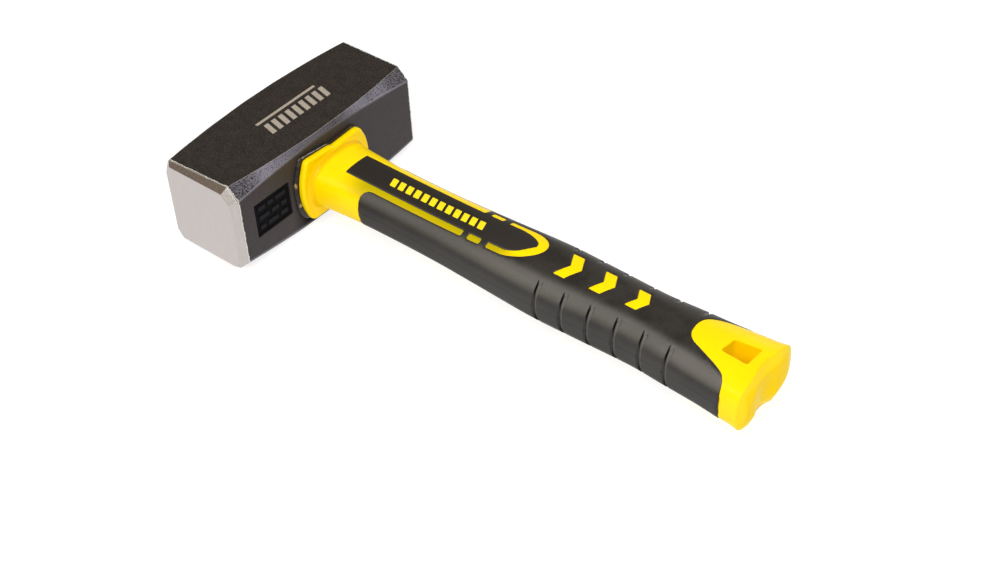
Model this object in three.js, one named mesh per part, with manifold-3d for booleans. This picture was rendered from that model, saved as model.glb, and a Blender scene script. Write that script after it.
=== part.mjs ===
// Club hammer of about 1.5 kg with a forged steel head and a fibreglass handle.
//
// Millimetres. The hammer lies on one cheek of its head, and the origin is the middle of that
// cheek. +X runs along the handle to the butt, Y runs from one striking face to the other, and
// +Z points out of the upper cheek.
//
// Order of assembly: a fibreglass core carries a moulded plastic jacket, a soft grip is moulded
// over the jacket, and the bare end of the core is bonded into the eye of the head with resin.

import * as THREE from 'three';
import { mergeVertices } from 'three/addons/utils/BufferGeometryUtils.js';
import Module from 'manifold-3d';

const wasm = await Module();
wasm.setup();

// ---- Driving dimensions -------------------------------------------------------------------

const head = {
  width: 45, // X, through the eye
  length: 115, // Y, from striking face to striking face
  height: 45, // Z, from cheek to cheek
  chamferMiddle: 1.6, // leg of the four long chamfers halfway along the head
  chamferEnd: 5.5, // leg of the same chamfers where the striking ends begin
  endBevel: 2.7, // how far the bevel round each striking face reaches along Y
  endInset: 2.5, // how far that bevel steps in
  stations: 12, // cross-sections along the head
};

const eye = { handleSide: [16, 10.5], farSide: [18, 12.5], squareness: 2.4 }; // half sizes in Y, Z

// Shallow stamped panel beside the collar, with rows of plain raised bars on its floor.
const stamp = { y: -35.7, z: 22.9, width: 21.6, height: 18, depth: 0.8 };
const bar = { rows: 3, rowPitch: 5, lengths: [3.4, 6.2, 4.4], width: 2.4, space: 1.4, height: 0.5 };

const core = { halfWidth: 10, halfThickness: 6, start: -21.5, end: 222, squareness: 3.5 };

const resin = { start: -21, bedThickness: 1, bedReach: 0.9 };

const collar = {
  halfHeight: 16.2, // up to the flat upper and lower edges
  halfWidth: 21.8, // at the middle of the bulged sides
  sideRadius: 32,
  cornerRadius: 4,
  thickness: 2.9,
  rim: 0.5, // rounding of the flange's edge
};

// Half width, half thickness and squareness of the handle's cross-section along X.
const handleStations = [
  [24, 17.6, 12.8, 2.6],
  [28, 17, 12.4, 2.6],
  [34, 16.3, 12.1, 2.6],
  [42, 15.6, 12, 2.6],
  [54, 14.7, 12, 2.6],
  [72, 14.4, 12, 2.6],
  [96, 14.7, 12.1, 2.6],
  [118, 15.6, 12.6, 2.6],
  [148, 16.7, 13.6, 2.6],
  [172, 16, 13.7, 2.6],
  [196, 15.3, 13.6, 2.6],
  [212, 16.4, 13.3, 2.7],
  [228, 17.5, 13, 2.75],
  [240, 18.6, 13, 2.9],
  [244, 18.8, 12.9, 3],
  [248.8, 19.6, 12.9, 3.1],
];

const ringPoints = 28; // points round each cross-section of the handle, the core and the eye
const formStep = 9; // spacing of the cross-sections along visible surfaces
const hiddenStep = 14; // and along surfaces that another piece covers

const butt = {
  edge: 248.8, // X of the crisp edge where the end begins
  end: 250.9, // X of the handle's very end
  inset: 4.5, // how far the domed end steps in
  startTurn: Math.PI / 6, // the dome is an arc from this angle to a right angle
  faceShares: [0.7, 0.4, 0.1], // sizes of the rings that close the end
  valleyDepth: 1.5, // shallow valley down the middle of the end
  valleySlope: 0.06, // how much deeper it gets for each millimetre down
  valleyHalfWidth: 8,
  tip: 216.6, // X of the tip of the plastic tongue that runs up the grip
};

// Edge of that tongue: distance behind its tip and half width there.
const tongue = [[0, 0], [0.8, 4], [3.4, 6.8], [8.4, 8.8], [18.8, 12.1], [22.4, 14.7], [23.7, 19]];

const hangingHole = { x: 237.5, length: 13, width: 9.6, corner: 1 };

const grip = {
  start: 40, // X where the dark panel on each broad side begins
  sideStart: 53, // X where the soft side panels begin
  sideCorner: 5, // rounding of the side panels' ends
  end: 242.6, // X where the soft layer ends inside the butt
  thickness: 2,
  grooves: 6,
  firstGroove: 151.2, // X of the first finger groove
  groovePitch: 12.65,
  grooveWidth: 2,
  grooveDepth: 0.9,
  grooveHalfHeight: 10,
  grooveBow: 0.4, // how far each groove bows towards the head
};

// Yellow lines on both broad sides: a stripe and a dash each side of the dark panel, then a loop
// round its end, then chevrons. Inner and outer are distances from the middle of the handle.
const stripe = { inner: 7, outer: 9.7, end: 107, corner: 1 };
const dash = { start: 110, end: 116.6 };
const loop = { start: 120, centre: 128, outer: [16.1, 9.6], inner: [10.7, 7.1] }; // half sizes
const chevron = { count: 3, first: 157, pitch: 16.4, width: 5.6, span: 7.2, spanStep: 0.9, sweep: 0.5 };

const gap = 0.3; // clearance between neighbouring pieces
const past = 5; // how far a cutting shape runs on past what it cuts
const beyond = 30; // half width of a plan outline that reaches past both sides of the handle
const axisHeight = head.height / 2; // the handle's axis above the lower cheek

const finish = {
  paintedSteel: { color: 0x2b2723, roughness: 0.55, metalness: 0.3 },
  fibreglass: { color: 0xc9c08a, roughness: 0.5, metalness: 0 },
  curedResin: { color: 0x15120f, roughness: 0.2, metalness: 0 },
  yellowPlastic: { color: 0xffe100, roughness: 0.4, metalness: 0 },
  softBlack: { color: 0x3b3a38, roughness: 0.7, metalness: 0 },
};

// ---- Solids and meshes --------------------------------------------------------------------

function toSolid(geometry) {
  const bare = geometry.clone();
  bare.deleteAttribute('normal');
  bare.deleteAttribute('uv');
  const merged = mergeVertices(bare, 1e-5);
  return new wasm.Manifold(new wasm.Mesh({
    numProp: 3,
    vertProperties: new Float32Array(merged.attributes.position.array),
    triVerts: new Uint32Array(merged.index.array),
  }));
}

function toMesh(name, solid, materialFinish) {
  const { vertProperties, triVerts } = solid.getMesh();
  const geometry = new THREE.BufferGeometry();
  geometry.setAttribute('position', new THREE.BufferAttribute(new Float32Array(vertProperties), 3));
  geometry.setIndex(new THREE.BufferAttribute(new Uint32Array(triVerts), 1));
  geometry.computeVertexNormals();
  const mesh = new THREE.Mesh(geometry, new THREE.MeshStandardMaterial(materialFinish));
  mesh.name = name;
  return mesh;
}

const joinAll = (solids) => solids.reduce((sum, solid) => sum.add(solid));

// Skin over a list of closed rings of points, each ring turning the same way about the line
// that runs from the first ring to the last, and closed by a flat cap at both ends.
function loft(rings) {
  const count = rings[0].length;
  const positions = rings.flat().flatMap((point) => point.toArray());
  const index = [];
  for (let ring = 0; ring + 1 < rings.length; ring += 1) {
    for (let i = 0; i < count; i += 1) {
      const a = ring * count + i;
      const b = ring * count + ((i + 1) % count);
      index.push(a, b, b + count, a, b + count, a + count);
    }
  }
  const last = (rings.length - 1) * count;
  for (let i = 1; i + 1 < count; i += 1) {
    index.push(0, i + 1, i);
    index.push(last, last + i, last + i + 1);
  }
  const geometry = new THREE.BufferGeometry();
  geometry.setAttribute('position', new THREE.Float32BufferAttribute(positions, 3));
  geometry.setIndex(index);
  return toSolid(geometry);
}

// Closed superellipse ring across X: half width in Y, half thickness in Z.
function ringAcrossX(x, halfWidth, halfThickness, squareness) {
  const bend = (value) => Math.sign(value) * Math.abs(value) ** (2 / squareness);
  return Array.from({ length: ringPoints }, (_, i) => {
    const turn = ((i + 0.5) / ringPoints) * 2 * Math.PI;
    return new THREE.Vector3(
      x,
      halfWidth * bend(Math.cos(turn)),
      axisHeight + halfThickness * bend(Math.sin(turn)),
    );
  });
}

// Prism with a given outline in plan (X, Y), tall enough to cut right through the handle.
function planPrism(shape, curveSegments = 10) {
  const geometry = new THREE.ExtrudeGeometry(shape, {
    depth: head.height,
    bevelEnabled: false,
    curveSegments,
  });
  return toSolid(geometry);
}

function box(size, centre) {
  const geometry = new THREE.BoxGeometry(...size);
  geometry.translate(...centre);
  return toSolid(geometry);
}

function roundedRectangle(x0, x1, y0, y1, corner) {
  const shape = new THREE.Shape();
  shape.moveTo(x0 + corner, y0);
  shape.lineTo(x1 - corner, y0);
  shape.absarc(x1 - corner, y0 + corner, corner, -Math.PI / 2, 0);
  shape.lineTo(x1, y1 - corner);
  shape.absarc(x1 - corner, y1 - corner, corner, 0, Math.PI / 2);
  shape.lineTo(x0 + corner, y1);
  shape.absarc(x0 + corner, y1 - corner, corner, Math.PI / 2, Math.PI);
  shape.lineTo(x0, y0 + corner);
  shape.absarc(x0 + corner, y0 + corner, corner, Math.PI, Math.PI * 1.5);
  return shape;
}

// ---- Head ---------------------------------------------------------------------------------

// Eight-sided ring across Y: a rectangle with its four corners cut off.
function octagonAcrossY(y, halfWidth, halfHeight, leg) {
  const corners = [
    [halfWidth, halfHeight - leg],
    [halfWidth, leg - halfHeight],
    [halfWidth - leg, -halfHeight],
    [leg - halfWidth, -halfHeight],
    [-halfWidth, leg - halfHeight],
    [-halfWidth, halfHeight - leg],
    [leg - halfWidth, halfHeight],
    [halfWidth - leg, halfHeight],
  ];
  return corners.map(([x, z]) => new THREE.Vector3(x, y, axisHeight + z));
}

// The chamfers are narrow beside the eye and widen in an arc towards both ends.
function headBlank() {
  const halfWidth = head.width / 2;
  const halfHeight = head.height / 2;
  const bodyEnd = head.length / 2 - head.endBevel;
  const widening = head.chamferEnd - head.chamferMiddle;
  const body = Array.from({ length: head.stations + 1 }, (_, i) => {
    const along = (2 * i) / head.stations - 1;
    const leg = head.chamferMiddle + widening * along ** 2;
    return octagonAcrossY(along * bodyEnd, halfWidth, halfHeight, leg);
  });
  const faceLeg = head.chamferEnd - head.endInset * (2 - Math.SQRT2);
  const face = (y) => octagonAcrossY(y, halfWidth - head.endInset, halfHeight - head.endInset, faceLeg);
  return loft([face(-head.length / 2), ...body, face(head.length / 2)]);
}

// Tapered hole through the head, wider on the side away from the handle.
function eyeShape(clearance, from, to) {
  const half = head.width / 2;
  const ringAt = (x) => {
    const share = (half - x) / head.width;
    const size = eye.handleSide.map((value, i) => value + (eye.farSide[i] - value) * share - clearance);
    return ringAcrossX(x, size[0], size[1], eye.squareness);
  };
  return loft([ringAt(from), ringAt(to)]);
}

// The stamped panel's hollow. Each row has the same bars in a different order.
function stampedPanel() {
  const floor = head.width / 2 - stamp.depth;
  const pocket = box(
    [stamp.depth + past, stamp.width, stamp.height],
    [floor + (stamp.depth + past) / 2, stamp.y, stamp.z],
  );
  const total = bar.lengths.reduce((sum, length) => sum + length, bar.space * (bar.lengths.length - 1));
  const bars = [];
  for (let row = 0; row < bar.rows; row += 1) {
    const z = stamp.z + (row - (bar.rows - 1) / 2) * bar.rowPitch;
    let y = stamp.y - total / 2;
    for (const length of [...bar.lengths.slice(row), ...bar.lengths.slice(0, row)]) {
      bars.push(box([2 * bar.height, length, bar.width], [floor, y + length / 2, z]));
      y += length + bar.space;
    }
  }
  return pocket.subtract(joinAll(bars));
}

function makeHead() {
  const hole = eyeShape(0, -head.width / 2 - past, head.width / 2 + past);
  return headBlank().subtract(hole).subtract(stampedPanel());
}

// ---- Core and resin -----------------------------------------------------------------------

function coreShape(clearance, from, to) {
  const ringAt = (x) => (
    ringAcrossX(x, core.halfWidth + clearance, core.halfThickness + clearance, core.squareness)
  );
  return loft([ringAt(from), ringAt(to)]);
}

// Outline of the collar in Y and Z, grown by a margin: flat above and below, bulged at the
// sides, with a rounded corner between each side and each flat.
function collarOutline(margin) {
  const top = collar.halfHeight + margin;
  const corner = collar.cornerRadius + margin;
  const side = collar.sideRadius + margin;
  const sideCentre = collar.halfWidth + margin - side;
  const cornerZ = top - corner;
  const cornerY = sideCentre + Math.sqrt((side - corner) ** 2 - cornerZ ** 2);
  const turn = Math.atan2(cornerZ, cornerY - sideCentre);
  const right = Math.PI / 2;
  const shape = new THREE.Shape();
  shape.absarc(sideCentre, 0, side, -turn, turn);
  shape.absarc(cornerY, cornerZ, corner, turn, right);
  shape.absarc(-cornerY, cornerZ, corner, right, Math.PI - turn);
  shape.absarc(-sideCentre, 0, side, Math.PI - turn, Math.PI + turn);
  shape.absarc(-cornerY, -cornerZ, corner, Math.PI + turn, 3 * right);
  shape.absarc(cornerY, -cornerZ, corner, -right, -turn);
  return shape;
}

// Plate with the collar's outline between two X positions; rim rounds both of its edges.
function collarPlate(margin, from, to, rim) {
  const geometry = new THREE.ExtrudeGeometry(collarOutline(margin - rim), {
    depth: to - from - 2 * rim,
    bevelEnabled: rim > 0,
    bevelSize: rim,
    bevelThickness: rim,
    bevelSegments: 2,
    curveSegments: 5,
  });
  geometry.translate(0, 0, rim);
  const axes = new THREE.Matrix4().makeBasis(
    new THREE.Vector3(0, 1, 0),
    new THREE.Vector3(0, 0, 1),
    new THREE.Vector3(1, 0, 0),
  );
  geometry.applyMatrix4(axes);
  geometry.translate(from, 0, axisHeight);
  return toSolid(geometry);
}

const bedStart = head.width / 2 + gap;
const collarStart = bedStart + resin.bedThickness + gap;

// Resin fills the eye round the core and is squeezed out into a thin bed under the collar.
function makeResin() {
  const fill = eyeShape(gap, resin.start, bedStart + resin.bedThickness);
  const bed = collarPlate(resin.bedReach, bedStart, bedStart + resin.bedThickness, 0);
  return fill.add(bed).subtract(coreShape(gap, resin.start - past, collarStart + past));
}

// ---- Handle -------------------------------------------------------------------------------

// Smooth curve through the handle's stations: half width, half thickness and squareness at x.
function handleSize(x) {
  const last = handleStations.length - 1;
  let k = handleStations.findIndex((station) => station[0] > x) - 1;
  if (k < 0) {
    k = x < handleStations[0][0] ? 0 : last - 1;
  }
  const [p1, p2] = [handleStations[k], handleStations[k + 1]];
  const p0 = handleStations[Math.max(k - 1, 0)];
  const p3 = handleStations[Math.min(k + 2, last)];
  const span = p2[0] - p1[0];
  const t = THREE.MathUtils.clamp((x - p1[0]) / span, 0, 1);
  return [1, 2, 3].map((i) => {
    const slope1 = ((p2[i] - p0[i]) / (p2[0] - p0[0])) * span;
    const slope2 = ((p3[i] - p1[i]) / (p3[0] - p1[0])) * span;
    const rise = p2[i] - p1[i];
    return p1[i] + t * slope1 + t * t * (3 * rise - 2 * slope1 - slope2)
      + t * t * t * (slope1 + slope2 - 2 * rise);
  });
}

function handleRing(x, inset) {
  const [width, thickness, squareness] = handleSize(x);
  return ringAcrossX(x, width - inset, thickness - inset, squareness);
}

// Outer form of the handle between two X positions, shrunk all round by an inset.
function handleForm(inset, from, to, step) {
  const steps = Math.round((to - from) / step);
  return loft(Array.from({ length: steps + 1 }, (_, i) => (
    handleRing(from + ((to - from) * i) / steps, inset)
  )));
}

// Sinks a ring of the butt's end by the depth of the valley.
function sinkValley(ring) {
  return ring.map((point) => {
    const share = Math.max(0, 1 - (point.y / butt.valleyHalfWidth) ** 2);
    const depth = butt.valleyDepth - butt.valleySlope * (point.z - axisHeight);
    return new THREE.Vector3(point.x - share * depth, point.y, point.z);
  });
}

// The butt's end: a crisp edge, a domed band and the face with its valley.
function buttEnd() {
  const { edge, end, inset, startTurn } = butt;
  const rings = [handleRing(edge - formStep, 0), handleRing(edge, 0)];
  for (const share of [1 / 3, 2 / 3, 1]) {
    const turn = startTurn + (Math.PI / 2 - startTurn) * share;
    const rise = (Math.sin(turn) - Math.sin(startTurn)) / (1 - Math.sin(startTurn));
    const ring = handleRing(edge, inset * (1 - Math.cos(turn) / Math.cos(startTurn)));
    rings.push(ring.map((point) => new THREE.Vector3(edge + (end - edge) * rise, point.y, point.z)));
  }
  const rim = rings.at(-1);
  for (const share of butt.faceShares) {
    rings.push(rim.map((point) => (
      new THREE.Vector3(end, point.y * share, axisHeight + (point.z - axisHeight) * share)
    )));
  }
  return loft([rings[0], ...rings.slice(1).map(sinkValley)]);
}

// Neck of bare plastic behind the collar, which runs on in a stripe along each side of the dark
// panel. Its edge curls round the ends of the soft side panels.
function neckWindow(grow) {
  const inner = stripe.inner - grow;
  const outer = stripe.outer + grow;
  const end = stripe.end + grow;
  const sideX = grip.sideStart + grow;
  const middle = grip.sideCorner * (1 - Math.SQRT1_2); // halfway round the side panel's corner
  const half = [
    [grip.start + grow, inner],
    [end - stripe.corner, inner],
    [end, inner + stripe.corner],
    [end, outer - stripe.corner],
    [end - stripe.corner, outer],
    [sideX + grip.sideCorner, outer],
    [sideX + middle, outer + middle],
    [sideX, outer + grip.sideCorner],
    [sideX, beyond],
    [0, beyond],
  ].map(([x, y]) => new THREE.Vector2(x, y));
  const mirrored = half.map((point) => new THREE.Vector2(point.x, -point.y)).reverse();
  return planPrism(new THREE.Shape([...mirrored, ...half]));
}

// Short dash on one side of the panel; side is -1 or 1.
function dashWindow(side, grow) {
  const middle = (side * (stripe.inner + stripe.outer)) / 2;
  const half = (stripe.outer - stripe.inner) / 2 + grow;
  const outline = roundedRectangle(
    dash.start - grow,
    dash.end + grow,
    middle - half,
    middle + half,
    stripe.corner,
  );
  return planPrism(outline, 1);
}

// Loop that closes round the end of the panel, like a long letter U.
function loopWindow(grow) {
  const corner = stripe.corner + grow;
  const start = loop.start - grow;
  const [outerX, outerY] = loop.outer.map((value) => value + grow);
  const [innerX, innerY] = loop.inner.map((value) => value - grow);
  const shape = new THREE.Shape();
  shape.moveTo(start + corner, -outerY);
  shape.lineTo(loop.centre, -outerY);
  shape.absellipse(loop.centre, 0, outerX, outerY, -Math.PI / 2, Math.PI / 2);
  shape.lineTo(start + corner, outerY);
  shape.quadraticCurveTo(start, outerY, start, outerY - corner);
  shape.lineTo(start, innerY);
  shape.lineTo(loop.centre, innerY);
  shape.absellipse(loop.centre, 0, innerX, innerY, Math.PI / 2, -Math.PI / 2, true);
  shape.lineTo(start, -innerY);
  shape.lineTo(start, -outerY + corner);
  shape.quadraticCurveTo(start, -outerY, start + corner, -outerY);
  return planPrism(shape, 8);
}

// Chevron that points to the butt. Each one is narrower than the one before it.
function chevronWindow(index, grow) {
  const inner = chevron.first + index * chevron.pitch - grow;
  const outer = inner + chevron.width + 2 * grow;
  const span = chevron.span - index * chevron.spanStep + grow;
  const back = chevron.sweep * span;
  const shape = new THREE.Shape();
  shape.moveTo(inner, 0);
  shape.lineTo(inner - back, -span);
  shape.lineTo(outer - back, -span);
  shape.lineTo(outer, 0);
  shape.lineTo(outer - back, span);
  shape.lineTo(inner - back, span);
  return planPrism(shape);
}

// Plastic butt: a rounded tongue on each broad side that spreads to the full width.
function buttWindow(grow) {
  const edge = tongue.map(([x, y]) => new THREE.Vector2(butt.tip - grow + x, y + (y > 0 ? grow : 0)));
  const mirrored = edge.slice(1).map((point) => new THREE.Vector2(point.x, -point.y));
  const corner = edge.at(-1);
  const shape = new THREE.Shape();
  shape.moveTo(butt.end + past, -beyond);
  shape.lineTo(butt.end + past, beyond);
  shape.lineTo(corner.x, beyond);
  shape.lineTo(corner.x, corner.y);
  shape.splineThru([...edge.slice(0, -1).reverse(), ...mirrored]);
  shape.lineTo(corner.x, -beyond);
  return planPrism(shape, 2);
}

function plasticWindows(grow) {
  const chevrons = Array.from({ length: chevron.count }, (_, i) => chevronWindow(i, grow));
  return joinAll([
    neckWindow(grow),
    dashWindow(-1, grow),
    dashWindow(1, grow),
    loopWindow(grow),
    ...chevrons,
    buttWindow(grow),
  ]);
}

function hangingHolePrism() {
  const { x, length, width, corner } = hangingHole;
  return planPrism(roundedRectangle(x - length / 2, x + length / 2, -width / 2, width / 2, corner), 3);
}

// Jacket: collar, neck and butt, and a waist under the grip from which the windows stand up.
function makeJacket() {
  const flange = collarPlate(0, collarStart, collarStart + collar.thickness, collar.rim);
  const fullForm = handleForm(0, collarStart + collar.rim, butt.edge - formStep, formStep)
    .add(buttEnd());
  const waist = handleForm(grip.thickness + gap, collarStart + 2 * collar.rim, grip.end, hiddenStep);
  return fullForm
    .intersect(plasticWindows(0))
    .add(waist)
    .add(flange)
    .subtract(coreShape(gap, collarStart - past, core.end + gap))
    .subtract(hangingHolePrism());
}

// Curved band that marks one finger groove; side is -1 or 1.
function grooveBand(index, side) {
  const x = grip.firstGroove + index * grip.groovePitch;
  const half = grip.grooveHalfHeight;
  const width = grip.grooveWidth / 2;
  const nearY = handleStations.at(-1)[1] / 2; // well inside the handle's side
  const shape = new THREE.Shape();
  shape.moveTo(x - width, -half);
  shape.quadraticCurveTo(x - width - 2 * grip.grooveBow, 0, x - width, half);
  shape.lineTo(x + width, half);
  shape.quadraticCurveTo(x + width - 2 * grip.grooveBow, 0, x + width, -half);
  const geometry = new THREE.ExtrudeGeometry(shape, {
    depth: nearY + past,
    bevelEnabled: false,
    curveSegments: 3,
  });
  geometry.rotateX(Math.PI / 2);
  geometry.translate(0, side > 0 ? 2 * nearY + past : -nearY, axisHeight);
  return toSolid(geometry);
}

function makeGrip() {
  const lastGroove = grip.firstGroove + (grip.grooves - 1) * grip.groovePitch;
  const outer = handleForm(0, grip.start, grip.end, formStep);
  const inner = handleForm(grip.thickness, grip.start - past, grip.end + past, hiddenStep);
  const grooveFloor = handleForm(
    grip.grooveDepth,
    grip.firstGroove - grip.groovePitch,
    lastGroove + grip.groovePitch,
    hiddenStep,
  );
  const bands = [];
  for (let i = 0; i < grip.grooves; i += 1) {
    bands.push(grooveBand(i, -1), grooveBand(i, 1));
  }
  return outer
    .subtract(inner)
    .subtract(plasticWindows(gap))
    .subtract(joinAll(bands).subtract(grooveFloor));
}

// ---- Assembly -----------------------------------------------------------------------------

const hammer = new THREE.Group();
hammer.name = 'club_hammer';
hammer.add(
  toMesh('hammer_head', makeHead(), finish.paintedSteel),
  toMesh('fibreglass_core', coreShape(0, core.start, core.end), finish.fibreglass),
  toMesh('resin_bond', makeResin(), finish.curedResin),
  toMesh('handle_jacket', makeJacket(), finish.yellowPlastic),
  toMesh('soft_grip', makeGrip(), finish.softBlack),
);

export default hammer;
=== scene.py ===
"""Looks of the club hammer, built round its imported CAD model.

All shapes below are worked out in millimetres and turned into metres when a mesh is made. X runs
along the handle to the butt, Y from the near striking face to the far one, and Z up. The handle's
skin is one flat sheet of triangles, (x, s), wrapped round the handle: s is the distance round it
from the top. The sheet follows every edge between yellow plastic and black rubber, and the same
sheet makes both pieces, so that they fit together.
"""

import math

import bmesh
import bpy
import numpy as np
from mathutils import Matrix, Vector, noise
from mathutils.geometry import delaunay_2d_cdt
from mathutils.kdtree import KDTree


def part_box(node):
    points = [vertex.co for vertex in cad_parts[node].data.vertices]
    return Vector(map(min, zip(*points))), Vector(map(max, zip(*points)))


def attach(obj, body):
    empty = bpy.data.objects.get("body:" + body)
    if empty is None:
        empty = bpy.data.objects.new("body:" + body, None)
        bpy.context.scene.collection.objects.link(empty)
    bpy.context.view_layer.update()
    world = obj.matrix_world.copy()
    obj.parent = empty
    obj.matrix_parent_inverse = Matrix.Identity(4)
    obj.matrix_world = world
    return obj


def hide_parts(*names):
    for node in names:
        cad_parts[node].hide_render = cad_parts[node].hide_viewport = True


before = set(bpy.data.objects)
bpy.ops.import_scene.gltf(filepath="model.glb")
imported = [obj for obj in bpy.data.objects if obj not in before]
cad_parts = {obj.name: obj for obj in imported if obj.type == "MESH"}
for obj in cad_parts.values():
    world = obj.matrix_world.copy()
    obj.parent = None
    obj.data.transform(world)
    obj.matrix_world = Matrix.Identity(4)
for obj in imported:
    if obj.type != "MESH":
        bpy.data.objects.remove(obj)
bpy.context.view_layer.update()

MM = 0.001
HALF_TURN = math.pi

# ---- Dimensions, in millimetres -------------------------------------------------------------

HEAD_LOW, HEAD_HIGH = (np.array(corner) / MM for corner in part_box("hammer_head"))
HEAD_HALF = [float(side) for side in (HEAD_HIGH - HEAD_LOW) / 2]
AXIS = HEAD_HALF[2]  # height of the handle's axis

CHAMFER_MIDDLE = 1.6
CHAMFER_END = 5.5
FACE_BEVEL = 2.7
FACE_INSET = 2.5
EYE_NEAR = (16, 10.5)
EYE_FAR = (18, 12.5)
EYE_SQUARENESS = 2.4
CHAMFER_WAVE = 0.25  # unevenness of the hand-ground chamfers
# The near end is ground a little askew. How far the bevel's edge lies back at each of the octagon's
# corners, and how far its face stops short on the far side, at the top and the bottom.
GRIND_EDGE = (0, 0.4, 0, 0, 1.3, 1.8, -1.2, 0.5)
GRIND_FACE = (1.5, 1.2)
FAR_CORNER = 3  # the far face's nearest corner is ground off by this much more
HEAD_EDGE = 0.45  # rounding of the head's edges
PAINT_END = 54.7  # Y where the lacquer stops
MARK_DEPTH = 0.04
MARK_START, MARK_END = -16, 21
MARK_LINE = (-4.6, -3)
MARK_BARS, MARK_BAR_X, MARK_BAR_WIDTH, MARK_SLANT = 9, (-1, 6.6), 2.6, 1.8
RESIN_RECESS, RESIN_REACH, RESIN_LIP = 1.5, 1.9, 0.1
# The bed of resin between head and collar: share of the gap, and share of its greatest reach there.
RESIN_BED = ((0.03, 0.8), (0.08, 1), (0.3, 0.98), (0.55, 0.8), (0.8, 0.5), (0.94, 0.2))
RESIN_DROPS = ((-22, 5, 1.05), (-21.1, -6, 1.2))  # Y, Z from the axis, and size
DROP_STRETCH, DROP_OUT = (0.75, 0.8, 1.35), 0.9

STAMP_Y, STAMP_Z = -35.7, 0.4  # middle of the stamped panel, Z from the axis
STAMP_WIDTH, STAMP_HEIGHT, STAMP_DEPTH = 21.6, 18, 0.8
BAR_LENGTHS = (3.4, 6.2, 4.4)
BAR_WIDTH, BAR_SPACE, BAR_PITCH, BAR_HEIGHT = 2.4, 1.4, 5, 0.5

CORE_SIZE = (10, 6)
CORE_SQUARENESS = 3.5
CORE_START, CORE_END, CORE_CHAMFER = -21.5, 222, 0.3

# Half width, half thickness and squareness of the handle's section at X.
STATIONS = np.array([
    (24, 17.6, 12.8, 2.6),
    (28, 17, 12.4, 2.6),
    (34, 16.3, 12.1, 2.6),
    (42, 15.6, 12, 2.6),
    (54, 14.7, 12, 2.6),
    (72, 14.4, 12, 2.6),
    (96, 14.7, 12.1, 2.6),
    (118, 15.6, 12.6, 2.6),
    (148, 16.7, 13.6, 2.6),
    (172, 16, 13.7, 2.6),
    (196, 15.3, 13.6, 2.6),
    (212, 16.4, 13.3, 2.7),
    (228, 17.5, 13, 2.75),
    (240, 18.6, 13, 2.9),
    (244, 18.8, 12.9, 3),
    (248.8, 19.6, 12.9, 3.1),
])

COLLAR_BACK, COLLAR_FRONT = 24.05, 27
COLLAR_SIDE, COLLAR_SIDE_RADIUS, COLLAR_SIDE_HALF = 21.4, 32, 9
COLLAR_BOTTOM, COLLAR_FOOT, COLLAR_CORNER = -16.2, 17.4, 4
COLLAR_TOP = ((-17.1, 16.6), (-1.6, 15.4), (0.8, 14.5), (17.4, 15.2))  # upper edge as (Y, Z)
COLLAR_TOP_CORNERS = (2.6, 0.8, 0.8, 4)
COLLAR_EDGE = 1.3  # rounding of the collar's edge
NECK_FILLET = 1.6
NECK_START = 29.2

SKIN_END = 246.5
BUTT_EDGE, BUTT_END = 248.8, 250.9
BUTT_INSET = 5.4  # how far the domed end steps in
BUTT_BAND = ((0.1, 0.08), (0.5, 0.48), (0.86, 0.84), (0.94, 0.92), (1.04, 0.98), (1.16, 1))  # inset, rise
VALLEY_DEPTH, VALLEY_SLOPE, VALLEY_HALF, VALLEY_MIDDLE = 1.5, 0.06, 7.6, -1.2
HOLE_SHAPE = ((231.2, -3.9), (243.3, -4.6), (243.8, 5.8), (232.4, 4.1))
HOLE_CORNER = 1
HOLE_DRAFT = 0.05  # share by which the hole narrows halfway through

PANEL_START = 40
SIDE_START = 53
SIDE_CORNER = 5
STRIPE_IN, STRIPE_OUT, STRIPE_END = 7, 9.7, 107
STRIPE_FAR = 12.5  # outer edge of the far stripe, which reaches further round the side
DASH_START, DASH_END = 110, 116.6
LOOP_START, LOOP_MIDDLE = 120, 128
LOOP_OUT = (15.2, 9.6)
LOOP_IN = 7.1
LOOP_LEAN = 1.8  # the loop's round end leans to the far side
LOOP_TIP = (138.8, 1.3)  # where the two sides of its inner edge meet in a corner
LOOP_NEAR = ((128, -7.1), (131, -6.2), (134.4, -4))
LOOP_FAR = ((137.9, 3.6), (135.2, 5.3), (131.8, 6.4), (128, 7.1))
SMALL_CORNER = 0.8
CHEVRONS, CHEVRON_X, CHEVRON_PITCH = 3, 157, 16.4
CHEVRON_WIDTH, CHEVRON_SPAN, CHEVRON_STEP, CHEVRON_SWEEP = 5.6, 7.2, 0.9, 0.5
# The yellow tongue's edge, from the near side round its tip to the far side, where it flares earlier.
TONGUE = ((240.3, -19), (239, -14.9), (235.4, -11.8), (225, -7.7), (219.7, -5.6),
          (217, -2.6), (216.2, 1.5), (216.5, 4.8), (218, 7.9), (221.4, 10.6),
          (225, 12.5), (229.5, 14.3), (234, 16.5), (236.5, 19))

PRINT_START, PRINT_PITCH, PRINT_BARS = 62, 4.4, 12
PRINT_WIDTH, PRINT_LOW, PRINT_HIGH, PRINT_SLANT = 3, -3, 1.8, 1.5

RUBBER_PROUD = 0.2  # how far the rubber stands above the plastic
RUBBER_DEPTH = 2
WAIST_DEPTH = 2.3  # the plastic under the rubber
RUBBER_EDGE, PLASTIC_EDGE = 0.35, 0.25  # rounding of the two edges
RUBBER_RIDGE, PLASTIC_RIDGE, END_RIDGE, RIDGE_HALF = 0.1, 0.08, 0.1, 0.3  # the parting line's ridge
GROOVES, GROOVE_X, GROOVE_PITCH = 6, 151.9, 12.65
GROOVE_HALF, GROOVE_DEPTH, GROOVE_REACH, GROOVE_BOW = 1, 0.8, 10.7, 1.1
GROOVE_FAR = 12.2  # the far side's grooves reach higher
GROOVE_WALL = 0.28  # width of the sloping wall round a groove

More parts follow.
